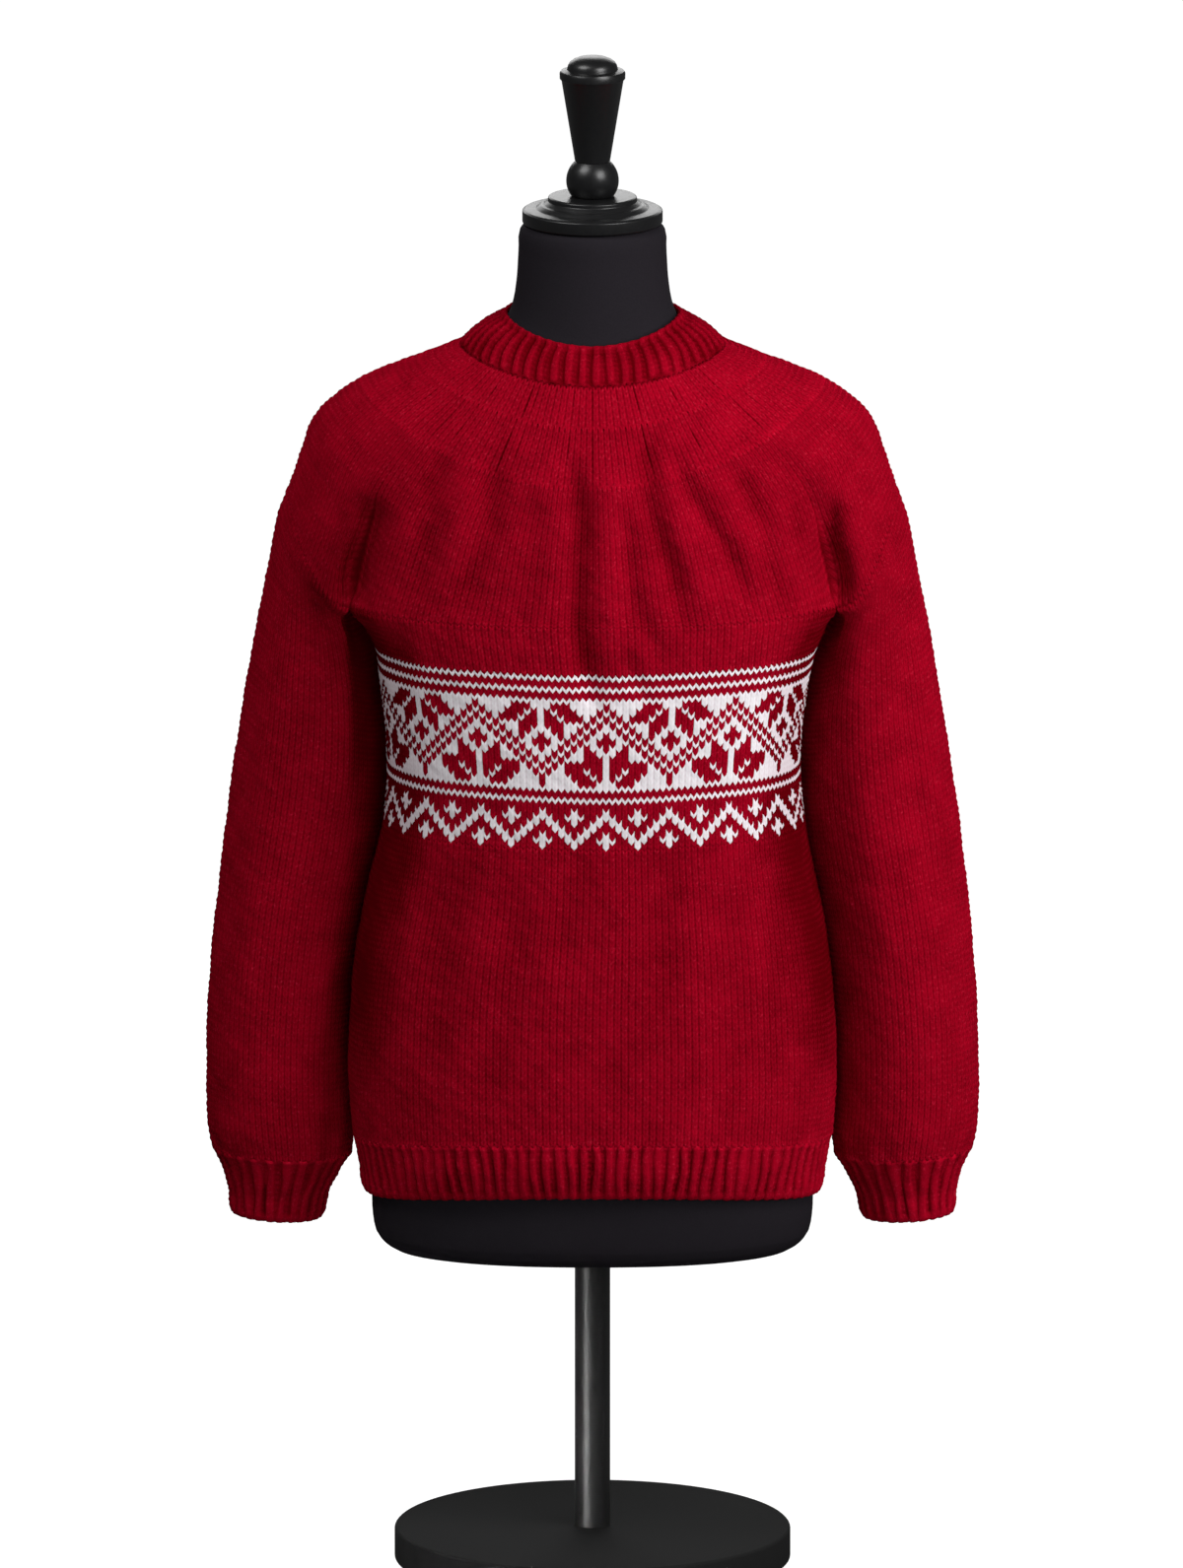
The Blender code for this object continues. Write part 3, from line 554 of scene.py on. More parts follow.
def sleeveBent(side):
    def bent(grid, normals):
        x, y, z = grid[..., 0], grid[..., 1], grid[..., 2]
        across = grid - grid.mean(axis=1, keepdims=True)
        angle = np.arctan2(-across[..., 1], across[..., 0] * side)
        radius = np.linalg.norm(across, axis=2)
        sunk = np.zeros(angle.shape)
        for foldSide, degrees, zTop, zFoot, halfWidth, depth in sleeveFolds:
            if foldSide == side:
                gap = (angle - math.radians(degrees) + math.pi) % (2 * math.pi) - math.pi
                sunk += trough(gap * radius, zTop, zFoot, z, halfWidth, depth)
        waves = hanging["sleeveWaves"] * smoothStep((hanging["wavesTop"] - z) / hanging["wavesFade"])
        sunk += waves * np.sin(61 * z + 40 * x) * np.sin(33 * z - 55 * y)
        gathers = hanging["gathers"] * smoothStep((hanging["gathersTop"] - z) / hanging["gathersFade"])
        gathers = gathers * (0.6 + 0.4 * np.sin(3 * angle + 0.7))
        sunk += gathers * np.cos(14 * angle + 1.1 * np.sin(2 * angle))
        return grid - normals * sunk[..., None]
    return bent


# ---- sizes of the yoke, body and sleeves ----

armhole = {
    "z": 0.750,
    "rise": 0.080,  # of its middle, over the arm
    "frontNotchY": -0.042,
    "backNotchY": 0.060,
    "bulge": 0.011,  # of the sleeve's head, forwards and backwards
    "fullness": 0.85,  # power; the less, the squarer the shoulder
    "chestHalfWidth": 0.192,
    "frontStitches": 40,  # from the middle to a notch
    "headStitches": 52,  # over the arm
    "underStitches": 10,  # of the body, under the arm
    "sleeveUnderStitches": 20,
    "plainStitches": 2.5,  # beside a notch, where the V's fade
    "overArmFade": 0.22,  # of the front's stitches, from the notch to where the yoke follows the arm
}
yokeSizes = {
    "rings": (  # halfWidth, sideY, sideZ, frontY, frontZ, backY, backZ, power
        (0.1015, -0.009, 0.9484, 0.0950, 0.9310, 0.0770, 0.9546, 2.00),
        (0.1240, -0.006, 0.9402, 0.1030, 0.9090, 0.0875, 0.9310, 2.05),
        (0.1480, -0.002, 0.9308, 0.1090, 0.8860, 0.0970, 0.9065, 2.10),
        (0.1710, 0.001, 0.9212, 0.1125, 0.8630, 0.1030, 0.8812, 2.15),
        (0.1925, 0.004, 0.9090, 0.1150, 0.8400, 0.1065, 0.8560, 2.20),
        (0.2092, 0.007, 0.8950, 0.1170, 0.8180, 0.1085, 0.8300, 2.25),
        (0.2180, 0.009, 0.8745, 0.1182, 0.7950, 0.1095, 0.8050, 2.30),
        (0.2260, 0.011, 0.8515, 0.1188, 0.7725, 0.1100, 0.7775, 2.35),
        (0.2330, 0.012, 0.8300, 0.1190, 0.7500, 0.1100, 0.7500, 2.40),
    ),
    "armholeShare": (0, 0, 0, 0, 0.02, 0.08, 0.28, 0.62, 1),  # of the armhole's ring, over the arms
    "chestShare": (0, 0, 0, 0.02, 0.08, 0.24, 0.54, 0.85, 1),  # and across, over chest and back
    "rowCount": 40,
    "stretches": ((0, 6, 132), (6, 15, 176), (15, 40, 264)),  # first row, last row, stitches round
    "gaps": 34,  # in each of the upper two, where stitches were added
    "gapDepth": 0.0010,
    "topTuck": 0.0008,  # under the neckband
    "wall": 0.0028,
}
bodySizes = {
    "rings": (  # z, halfWidth, frontY, backY, power, frontLift
        (0.7350, 0.1800, 0.1187, 0.1098, 2.60, 0.0),
        (0.7150, 0.1715, 0.1181, 0.1092, 2.70, 0.0),
        (0.6900, 0.1650, 0.1172, 0.1078, 2.70, 0.0),
        (0.6550, 0.1600, 0.1163, 0.1057, 2.60, 0.0),
        (0.6100, 0.1585, 0.1153, 0.1040, 2.50, 0.0005),
        (0.5700, 0.1622, 0.1147, 0.1048, 2.40, 0.0020),
        (0.5250, 0.1715, 0.1147, 0.1090, 2.30, 0.0050),
        (0.4750, 0.1803, 0.1150, 0.1138, 2.30, 0.0080),
        (0.4200, 0.1850, 0.1149, 0.1160, 2.30, 0.0108),
        (0.3700, 0.1858, 0.1140, 0.1155, 2.30, 0.0125),
        (0.3320, 0.1826, 0.1130, 0.1140, 2.30, 0.0130),
    ),
    "spacingBlend": (1.0, 0.7, 0.35, 0.1),  # how long the armhole's spacing is kept
    "rowCount": 90,
    "bandFirst": 8,
    "bandLast": 38,
    "flatHeight": 0.419,  # of all three parts
    "wall": 0.0028,
}
sleeveSizes = {
    "rings": (  # innerX, innerZ, outerX, outerZ, centreY, halfDepth
        (0.1810, 0.7330, 0.2395, 0.8030, 0.018, 0.0590),
        (0.1735, 0.7130, 0.2470, 0.7750, 0.025, 0.0600),
        (0.1670, 0.6880, 0.2525, 0.7440, 0.030, 0.0595),
        (0.1622, 0.6590, 0.2585, 0.7080, 0.033, 0.0590),
        (0.1585, 0.6120, 0.2670, 0.6550, 0.036, 0.0575),
        (0.1615, 0.5620, 0.2762, 0.5940, 0.038, 0.0562),
        (0.1716, 0.5080, 0.2840, 0.5300, 0.039, 0.0555),
        (0.1799, 0.4480, 0.2907, 0.4640, 0.039, 0.0550),
        (0.1838, 0.3880, 0.2945, 0.3990, 0.038, 0.0545),
        (0.1836, 0.3440, 0.2945, 0.3520, 0.037, 0.0532),
        (0.1818, 0.3230, 0.2935, 0.3290, 0.0365, 0.0516),
        (0.1836, 0.3085, 0.2893, 0.3120, 0.036, 0.0482),
    ),
    "armholeShare": (1.0, 0.55, 0.25, 0.08),  # how long the armhole's shape is kept
    "notchAngle": math.radians(130),  # from the outer side
    "rowCount": 100,
    "wall": 0.0028,
    "liningRows": 3.5,
}
# the band is charted from the middle of one figure (first letter) to the middle of the next,
# and mirrored there: w is a white stitch
bandChart = {
    "middle": 1,  # stitch that the last letter falls on, counted from the front centre
    "repeat": 20,
    "rows": (
        "wwwwwwwwwww", "...........", "wwwwwwwwwww", "...........",
        "wwwwwwwwwww", "ww...wwwww.", "w.w...www.w", "w..w...w.w.",
        "w...www.w.w", "ww..ww.w.ww", ".ww.w.w.ww.", "..ww.w.ww..",
        ".ww.w.w.ww.", "ww.w.ww..ww", "w.w.www...w", ".w.w......w",
        "w.ww...w..w", ".wwww...w.w", ".wwwww...ww", "wwwwwwwwwww",
        "...........", "wwwwwwwwwww", "...........",
        "w....w....w", "ww..www..ww", ".ww..w..ww.", "..ww...ww..",
        "w..ww.ww..w", "ww..www..ww", "w....w....w",
    ),
}
frontSag = {"stitches": 12, "rows": 0.55, "centre": 1.0, "easeTop": 8, "easeFoot": 40}  # eases in rows
frontPoints = armhole["frontStitches"] * stitchSteps
headPoints = armhole["headStitches"] * stitchSteps
underPoints = armhole["underStitches"] * stitchSteps
sleeveUnderPoints = armhole["sleeveUnderStitches"] * stitchSteps


def armholeRing(frontCount, headCount):
    # half of the ring where the yoke ends: chest, sleeve head, back
    outer, _, _, frontY, _, backY, _, power = yokeSizes["rings"][-1]
    z = armhole["z"]
    chest = halfOval((armhole["chestHalfWidth"], 0.0, z, frontY, z, backY, z, power))
    front = chest[chest[:, 1] <= armhole["frontNotchY"]]
    back = chest[chest[:, 1] >= armhole["backNotchY"]]
    start, end = front[-1], back[0]
    turn = np.linspace(0, math.pi, finePoints)
    way = (1 - np.cos(turn)) / 2
    x = start[0] + (end[0] - start[0]) * way
    x = x + (outer - x) * np.sin(turn) ** armhole["fullness"]
    y = start[1] + (end[1] - start[1]) * way - armhole["bulge"] * np.sin(2 * turn)
    head = np.stack([x, y, z + armhole["rise"] * np.sin(turn) ** 2], axis=1)
    return (
        spaced(front, np.linspace(0, 1, frontCount + 1)),
        spaced(head, np.linspace(0, 1, headCount + 1)),
        spaced(back, np.linspace(0, 1, frontCount + 1)),
    )


def yokeRings(stitches):
    # the yoke's rings, with the points of this many stitches
    half = stitches // 2 * stitchSteps
    share = armhole["frontStitches"] / (2 * armhole["frontStitches"] + armhole["headStitches"])
    frontCount = round(half * share)
    front, head, back = armholeRing(frontCount, half - 2 * frontCount)
    end = np.concatenate([front, head[1:], back[1:]])
    spot = np.arange(half + 1)
    away = np.minimum(spot - frontCount, half - frontCount - spot)
    overArm = smoothStep(away / (armhole["overArmFade"] * frontCount))[:, None]
    rings = []
    for row, blend, chest in zip(yokeSizes["rings"], yokeSizes["armholeShare"], yokeSizes["chestShare"]):
        plain = spaced(halfOval(row), np.linspace(0, 1, half + 1))
        level = chest + (blend - chest) * overArm
        share = np.concatenate([level, level, np.full_like(overArm, blend)], axis=1)
        rings.append(mirrored(plain + (end - plain) * share))
    return np.array(rings)


def bodyOval(row):
    z, halfWidth, frontY, backY, power, lift = row
    return halfOval((halfWidth, 0.0, z, frontY, z + lift, backY, z, power))


def bodyShares(blend):
    # from the armhole's spacing of the stitches to an even one, round half a ring
    count = 2 * frontPoints + underPoints
    front, _, back = armholeRing(frontPoints, 4)
    runs = (
        np.linalg.norm(np.diff(front, axis=0), axis=1).sum(),
        np.linalg.norm(back[0] - front[-1]),
        np.linalg.norm(np.diff(back, axis=0), axis=1).sum(),
    )
    ends = np.concatenate([[0], np.cumsum(runs)]) / sum(runs)
    kept = np.interp(np.arange(count + 1), (0, frontPoints, frontPoints + underPoints, count), ends)
    even = np.linspace(0, 1, count + 1)
    return even + (kept - even) * blend


def bodyRings():
    front, _, back = armholeRing(frontPoints, 4)
    way = np.linspace(0, 1, underPoints + 1)[1:-1, None]
    under = front[-1] + (back[0] - front[-1]) * way
    rings = [mirrored(np.concatenate([front, under, back]))]
    blends = bodySizes["spacingBlend"]
    for number, row in enumerate(bodySizes["rings"]):
        blend = blends[number + 1] if number + 1 < len(blends) else 0.0
        rings.append(mirrored(spaced(bodyOval(row), bodyShares(blend))))
    return np.array(rings)


def sleeveOval(row, angle):
    innerX, innerZ, outerX, outerZ, centreY, halfDepth = row
    outer, inner = np.array([outerX, centreY, outerZ]), np.array([innerX, centreY, innerZ])
    centre = (outer + inner) / 2
    depth = np.array([0.0, halfDepth, 0.0])
    return centre + np.cos(angle)[:, None] * (outer - centre) + np.sin(angle)[:, None] * depth


def sleeveRings():
    # of the sleeve on the +X side, from the front notch over the arm to the back notch and under it
    _, head, _ = armholeRing(4, headPoints)
    way = np.linspace(0, 1, sleeveUnderPoints + 1)[1:-1, None]
    under = head[-1] + (head[0] - head[-1]) * way
    first = np.concatenate([head, under])
    rings = [first]
    notch = sleeveSizes["notchAngle"]
    shares = sleeveSizes["armholeShare"]
    for number, row in enumerate(sleeveSizes["rings"]):
        over = sleeveOval(row, np.linspace(-notch, notch, finePoints))
        below = sleeveOval(row, np.linspace(notch, 2 * math.pi - notch, finePoints))
        outer = spaced(over, np.linspace(0, 1, headPoints + 1))
        inner = spaced(below, np.linspace(0, 1, sleeveUnderPoints + 1))
        plain = np.concatenate([outer, inner[1:-1]])
        if number + 1 < len(shares):
            moved = first - first.mean(axis=0) + plain.mean(axis=0)
            plain = plain + (moved - plain) * shares[number + 1]
        rings.append(plain)
    return np.array(rings)


# where the yoke's last ring, the body's first and a sleeve's first share their points
halfYoke = 2 * frontPoints + headPoints
halfBody = 2 * frontPoints + underPoints


def sharedSpots(half):
    # the front's and the back's points of a ring, between the notches
    front, back = np.arange(frontPoints + 1), np.arange(half - frontPoints, half + 1)
    return np.concatenate([front, back, 2 * half - back[::-1], 2 * half - front[::-1]]) % (2 * half)


yokeToBody, bodyFromYoke = sharedSpots(halfYoke), sharedSpots(halfBody)
headSpots = np.arange(headPoints + 1)
yokeToSleeve = frontPoints + headSpots
sleeveCount = headPoints + sleeveUnderPoints


def rowAt(rings, knots, row):
    return curved(rings, knots, np.full((1, rings.shape[1]), float(row)))[0]


def plainNear(count, spots):
    # 1 at these points, 0 a few stitches away
    away = np.abs(np.arange(count)[:, None] - np.asarray(spots)[None, :])
    away = np.minimum(away, count - away).min(axis=1)
    return np.clip(1 - away / (armhole["plainStitches"] * stitchSteps), 0, 1)[None, :]


reach = 2.0  # rows that each piece's rings are carried on into the next, for a smooth run over the join
yokeRaw, bodyRaw, sleeveRaw = yokeRings(yokeSizes["stretches"][-1][-1]), bodyRings(), sleeveRings()
yokeKnots = rowKnots(yokeRaw, yokeSizes["rowCount"], frontPoints)
bodyKnots = rowKnots(bodyRaw, bodySizes["rowCount"], frontPoints)
sleeveKnots = rowKnots(sleeveRaw, sleeveSizes["rowCount"])
yokeNear = rowAt(yokeRaw, yokeKnots, yokeSizes["rowCount"] - reach)
bodyNear = rowAt(bodyRaw, bodyKnots, reach)
sleeveNear = rowAt(sleeveRaw, sleeveKnots, reach)
yokeBelow = 2 * yokeRaw[-1] - yokeNear
yokeBelow[yokeToBody] = bodyNear[bodyFromYoke]
yokeBelow[yokeToSleeve] = sleeveNear[headSpots]
yokeBelow[-yokeToSleeve] = sleeveNear[headSpots] * (-1, 1, 1)
bodyAbove = 2 * bodyRaw[0] - bodyNear
bodyAbove[bodyFromYoke] = yokeNear[yokeToBody]
sleeveAbove = 2 * sleeveRaw[0] - sleeveNear
sleeveAbove[headSpots] = yokeNear[yokeToSleeve]
yokeRun = np.concatenate([yokeRaw, yokeBelow[None]])
yokeRunKnots = np.concatenate([yokeKnots, [yokeKnots[-1] + reach]])
bodyRun = np.concatenate([bodyAbove[None], bodyRaw])
bodyRunKnots = np.concatenate([[-reach], bodyKnots])
sleeveRun = np.concatenate([sleeveAbove[None], sleeveRaw])
sleeveRunKnots = np.concatenate([[-reach], sleeveKnots])


# ---- yoke ----

def gapped(grid, depth, lines):
    # small openings where stitches were added, scattered round and unlike each other
    normals = normalsOf(grid)
    stitches = grid.shape[1] // stitchSteps
    length = (lines[-1] - lines[0]) / 2
    for number in range(yokeSizes["gaps"]):
        place = (number + 0.33 * math.sin(2.7 * number)) / yokeSizes["gaps"]
        column = round(place * stitches) % stitches * stitchSteps
        middle = lines[0] + length * (0.9 + 0.3 * math.sin(5.1 * number))
        reached = length * (0.55 + 0.30 * math.sin(3.7 * number + 1))
        opened = np.exp(-(((lines - middle) / reached) ** 4))
        grid[:, column] -= normals[:, column] * (yokeSizes["gapDepth"] * opened)[:, None]
        # painted shade in the openings
        depth[:, column] += opened * (0.6 + 0.35 * math.sin(4.3 * number))


def makeYoke():
    cloth = ClothMesh()
    rowCount, wall = yokeSizes["rowCount"], yokeSizes["wall"]
    notches = [frontPoints, halfYoke - frontPoints, halfYoke + frontPoints, 2 * halfYoke - frontPoints]
    upper = None
    for first, last, stitches in yokeSizes["stretches"]:
        ends = last == rowCount
        rings = yokeRun if ends else yokeRings(stitches)
        knots = yokeRunKnots if ends else yokeKnots
        columns = rings.shape[1]
        plainBottom = plainNear(columns, notches) if ends else 0.0
        start = first if upper is None else first + 0.5
        lines, rows = stitchLines(start, last, stitchShape, columns, 0.0, plainBottom)
        grid, depth, _ = knitted(rings, knots, lines, rows, (0, rowCount), bodyBent, yokeShade)
        if not ends:
            gapped(grid, depth, lines)
        if upper is None:
            grid[0] -= normalsOf(grid)[0] * yokeSizes["topTuck"]
            # painted shade along the top edge, tucked under the neckband
            depth[0] = 1.0
        spots = cloth.addGrid(grid, depth, np.arange(columns + 1) / stitchSteps, lines, True)
        if upper is None:
            top, edge = spots[0], grid[0]
        else:
            cloth.addStrip(upper, spots[0])
        upper = spots[-1]
    lining = lined(yokeRun, yokeRunKnots, 0, rowCount, wall, liningKnit["rows"], bodyBent)
    closeCloth(cloth, top, upper, lining)
    piece = cloth.finish("yokeKnit", woolMaterial)
    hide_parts("yoke")
    return edge, grid[-1]


yokeTopEdge, yokeBottomEdge = makeYoke()
print("yoke made")


# ---- body, from the armholes to the hem ribbing, with the patterned band ----

def bandColours(row, stitch):
    chart = np.array([[letter == "w" for letter in line] for line in bandChart["rows"]], float)
    repeat = bandChart["repeat"]
    place = (stitch - bandChart["middle"] + repeat // 2) % repeat
    place = np.abs(place - repeat // 2)
    inside = (row >= bodySizes["bandFirst"]) & (row < bodySizes["bandLast"])
    line = np.clip(row - bodySizes["bandFirst"], 0, len(chart) - 1)
    return np.where(inside, chart[line, repeat // 2 - place], 0.0)


def sagged(rows, columns):
    # the rows dip a little at the middle of the front
    stitch, count = np.arange(columns) / stitchSteps - frontSag["centre"], columns / stitchSteps
    stitch = (stitch + count / 2) % count - count / 2
    dip = frontSag["rows"] * np.exp(-((stitch / frontSag["stitches"]) ** 2))
    ease = smoothStep(rows / frontSag["easeTop"])
    ease = ease * smoothStep((bodySizes["rowCount"] - rows) / frontSag["easeFoot"])
    return rows + dip[None, :] * ease


def makeBody():
    rowCount, wall, columns = bodySizes["rowCount"], bodySizes["wall"], bodyRun.shape[1]
    first, last = bodySizes["bandFirst"], bodySizes["bandLast"]
    under = np.arange(frontPoints, frontPoints + underPoints + 1)
    under = np.concatenate([under, columns - under])
    lines, rows = stitchLines(0, rowCount, stitchShape, columns, plainNear(columns, under), 0.0)
    joins = (0, first, last, rowCount)
    grid, depth, yarn = knitted(
        bodyRun, bodyRunKnots, lines, rows, joins, bodyBent, bodyShade, sagged, bandColours
    )
    grid[0, under] = bodyRaw[0][under]
    grid[0, bodyFromYoke] = yokeBottomEdge[yokeToBody]
    depth[-1] = depth[-2]
    across = np.arange(columns + 1) / stitchSteps
    parts = (("bodyTop", 0, first), ("bodyBand", first, last), ("bodyLower", last, rowCount))
    for name, start, end in parts:
        cloth = ClothMesh()
        part = slice(2 * start, 2 * end + 1)
        colours = yarn[2 * start:2 * end]
        spots = cloth.addGrid(grid[part], depth[part], across, lines[part], True, colours)
        lining = lined(bodyRun, bodyRunKnots, start, end, wall, liningKnit["rows"], bodyBent, sagged)
        closeCloth(cloth, spots[0], spots[-1], lining)
        piece = cloth.finish(name, woolMaterial)
        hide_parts("body")
        height = round((end - start) / rowCount * bodySizes["flatHeight"], 4)
    return grid[-1]


bodyBottomEdge = makeBody()
print("body made")


# ---- sleeves ----

def makeSleeve(side, name):
    rings, knots = sleeveRun, sleeveRunKnots
    rowCount, wall = sleeveSizes["rowCount"], sleeveSizes["wall"]
    shared, edge = headSpots, yokeBottomEdge[side * yokeToSleeve]
    if side < 0:
        rings = otherSide(rings)
        shared = (sleeveCount - headSpots) % sleeveCount
    under = np.setdiff1d(np.arange(sleeveCount), shared[1:-1])
    lines, rows = stitchLines(0, rowCount, stitchShape, sleeveCount, plainNear(sleeveCount, under), 0.0)
    bent = sleeveBent(side)

    def shade(grid, normals):
        return armShade(grid, normals, side)

    grid, depth, _ = knitted(rings, knots, lines, rows, (0, rowCount), bent, shade)
    grid[0, under] = rings[1, under]
    grid[0, shared] = edge
    depth[-1] = depth[-2]
    cloth = ClothMesh()
    spots = cloth.addGrid(grid, depth, np.arange(sleeveCount + 1) / stitchSteps, lines, True)
    lining = lined(rings, knots, 0, rowCount, wall, sleeveSizes["liningRows"], bent)
    closeCloth(cloth, spots[0], spots[-1], lining)
    piece = cloth.finish("sleeveKnit" + name, woolMaterial)
    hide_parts("sleeve_" + name.lower())
    return grid[-1]


# ---- ribbing: cuffs, hem and neckband ----

cuffSizes = {
    "rings": (  # innerX, innerZ, outerX, outerZ, centreY, halfDepth, at the foot of its furrows
        (0.1836, 0.3085, 0.2893, 0.3120, 0.036, 0.0482),
        (0.1925, 0.2950, 0.2817, 0.2960, 0.036, 0.0425),
        (0.2003, 0.2815, 0.2774, 0.2820, 0.036, 0.0370),
        (0.2065, 0.2600, 0.2752, 0.2640, 0.036, 0.0325),
    ),
    "ribs": 24,
    "knitShare": 0.60,  # of a rib's width
    "sway": 0.8,  # how far the ribs stray
    "shade": 0.05,  # painted shade that is added all over
    "rowCount": 12,
    "wall": 0.0026,
}
hemSizes = {
    "rings": (  # z, halfWidth, frontY, backY, power, frontLift, at the foot of its furrows
        (0.3320, 0.1826, 0.1130, 0.1140, 2.30, 0.0130),
        (0.3100, 0.1773, 0.1108, 0.1118, 2.30, 0.0130),
        (0.2912, 0.1738, 0.1030, 0.1040, 2.30, 0.0130),
    ),
    "ribs": 100,
    "knitShare": 0.60,
    "sway": 0.9,
    "shade": 0.05,
    "rowCount": 10,
    "wall": 0.0026,
}
neckSizes = {
    "rings": (  # as the yoke's, from the rolled upper edge to the lower edge
        (0.0681, -0.0065, 0.9700, 0.0688, 0.9555, 0.0592, 0.9745, 2.00),
        (0.0765, -0.007, 0.9660, 0.0755, 0.9520, 0.0632, 0.9710, 2.00),
        (0.0900, -0.008, 0.9582, 0.0858, 0.9425, 0.0702, 0.9628, 2.00),
        (0.1015, -0.009, 0.9492, 0.0950, 0.9318, 0.0770, 0.9550, 2.00),
    ),
    "fan": (0.12, 0.08, 0.02, -0.06),  # how much wider the front ribs are, ring by ring
    "ribs": 50,
    "knitShare": 0.54,
    "sway": 0.45,
    "shade": 0.62,
    "rowCount": 11,
    "wall": 0.0040,
    "relief": 0.0017,
    "roll": 0.0021,
    "rollDown": 0.0040,
    "liningGap": 0.0003,
}
castOffEdge = {"reach": 0.0014, "tuck": 0.0006, "turnDown": 0.0004, "turnIn": 0.0016}


def evenRings(rows, outline, columns):
    shares = np.linspace(0, 1, columns // 2 + 1)
    return np.array([mirrored(spaced(outline(row), shares)) for row in rows])


def between(rings, places):
    # points of closed rings at places that fall between their own
    low = np.floor(places).astype(int)
    part, count = (places - low)[:, None], rings.shape[1]
    return rings[:, low % count] * (1 - part) + rings[:, (low + 1) % count] * part


def onEdge(edge, ring):
    # where the points of a ring meet the knitted edge that it joins
    middle, turn = ring.mean(axis=0), 2 * math.pi
    around = np.arctan2(edge[:, 1] - middle[1], edge[:, 0] - middle[0])
    wanted = np.arctan2(ring[:, 1] - middle[1], ring[:, 0] - middle[0])
    return np.stack([np.interp(wanted, around, edge[:, axis], period=turn) for axis in range(3)], axis=1)


def ribbed(rings, sizes, ribDepth, ribLevel, swayEnd=1.0):
    # the outer side of ribbing; ribDepth and ribLevel list rows, and how deep and high the ribs are there
    rowCount, columns = sizes["rowCount"], rings.shape[1]
    spots = np.arange(columns)
    rib, point = spots // ribSteps, spots % ribSteps
    share = np.interp(point, (0, ribSteps / 2, ribSteps), (0, sizes["knitShare"], 1))
    rings = between(rings, (rib + share) * ribSteps)
    knots = rowKnots(rings, rowCount)
    lines, rows = stitchLines(0, rowCount, ribShape, columns)
    grid = curved(rings, knots, rows)
    turn, row = (spots * 2 * math.pi / columns)[None, :], lines[:, None]
    free = np.interp(lines, (0, 2, rowCount - 1.5, rowCount), (0, 1, 1, swayEnd))[:, None]
    sway = 0.6 * np.sin(13 * turn + 0.5 * row) + 0.5 * np.sin(31 * turn - 0.35 * row + 2.0)
    along = (np.roll(grid, -ribSteps, axis=1) - np.roll(grid, ribSteps, axis=1)) / (2 * ribSteps)
    grid = grid + along * (sizes["sway"] * sway * free)[..., None]
    uneven = 0.22 * np.sin(11 * turn + 0.3 * row + 0.8) + 0.18 * np.sin(27 * turn + 2.2)
    deep = np.interp(lines, *ribDepth)[:, None] * (1 + sizes["sway"] * uneven)
    level = np.interp(lines, *ribLevel)[:, None]
    out = relief(lines, ribShape, columns, (0, rowCount)) * deep
    grid = grid + normalsOf(grid) * (out + level + handMade(grid) * np.minimum(deep, 1))[..., None]
    # painted shade in the furrows, by their depth, plus the piece's painted shade all over
    return grid, np.clip(sizes["shade"] - out / ribShape["fullShade"], 0, handKnit["deepest"]), lines


def castOff(rings):
    # adds the last two rings, which turn the edge in
    normals = normalsOf(rings)
    down = rings[-1] - rings[-2]
    down = down / np.linalg.norm(down, axis=1, keepdims=True)
    edge = rings[-1] + down * castOffEdge["reach"] - normals[-1] * castOffEdge["tuck"]
    inside = edge + down * castOffEdge["turnDown"] - normals[-1] * castOffEdge["turnIn"]
    return np.concatenate([rings, edge[None], inside[None]])


def makeRibbing(name, rings, sizes, node, ribLevel, topEdge):
    rowCount = sizes["rowCount"]
    lining = (rings - normalsOf(rings) * sizes["wall"])[:, ::stitchSteps]
    ribDepth = ((0, 1.4, rowCount - 1.5, rowCount - 0.9, rowCount), (0.3, 1.15, 1.15, 0.4, 0.3))
    grid, depth, lines = ribbed(castOff(rings), sizes, ribDepth, ribLevel)
    grid[0] = onEdge(topEdge, grid[0])
    cloth = ClothMesh()
    spots = cloth.addGrid(grid, depth, np.arange(grid.shape[1] + 1) / stitchSteps, lines, True)
    closeCloth(cloth, spots[0], spots[-1], lining)
    piece = cloth.finish(name, woolMaterial)
    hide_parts(node)


def makeCuff(side, name, topEdge):
    columns = cuffSizes["ribs"] * ribSteps
    angles = np.linspace(-math.pi, math.pi, finePoints)
    shares = np.linspace(0, 1, columns + 1)[:-1]
    rings = np.array([spaced(sleeveOval(row, angles), shares) for row in cuffSizes["rings"]])
    if side < 0:
        rings = otherSide(rings)
    ribLevel = ((0, 3, 6, cuffSizes["rowCount"]), (-0.0002, 0.0, 0.0010, 0.0010))
    flat, node = (0.27, 0.060), "cuff_" + name.lower()
    makeRibbing("cuffRib" + name, rings, cuffSizes, node, ribLevel, topEdge)


def makeHem():
    rings = evenRings(hemSizes["rings"], bodyOval, hemSizes["ribs"] * ribSteps)
    ribLevel = ((0, 1, 5, hemSizes["rowCount"]), (-0.0003, 0.0, 0.0009, 0.0010))
    makeRibbing("hemRib", rings, hemSizes, "hem_rib", ribLevel, bodyBottomEdge)


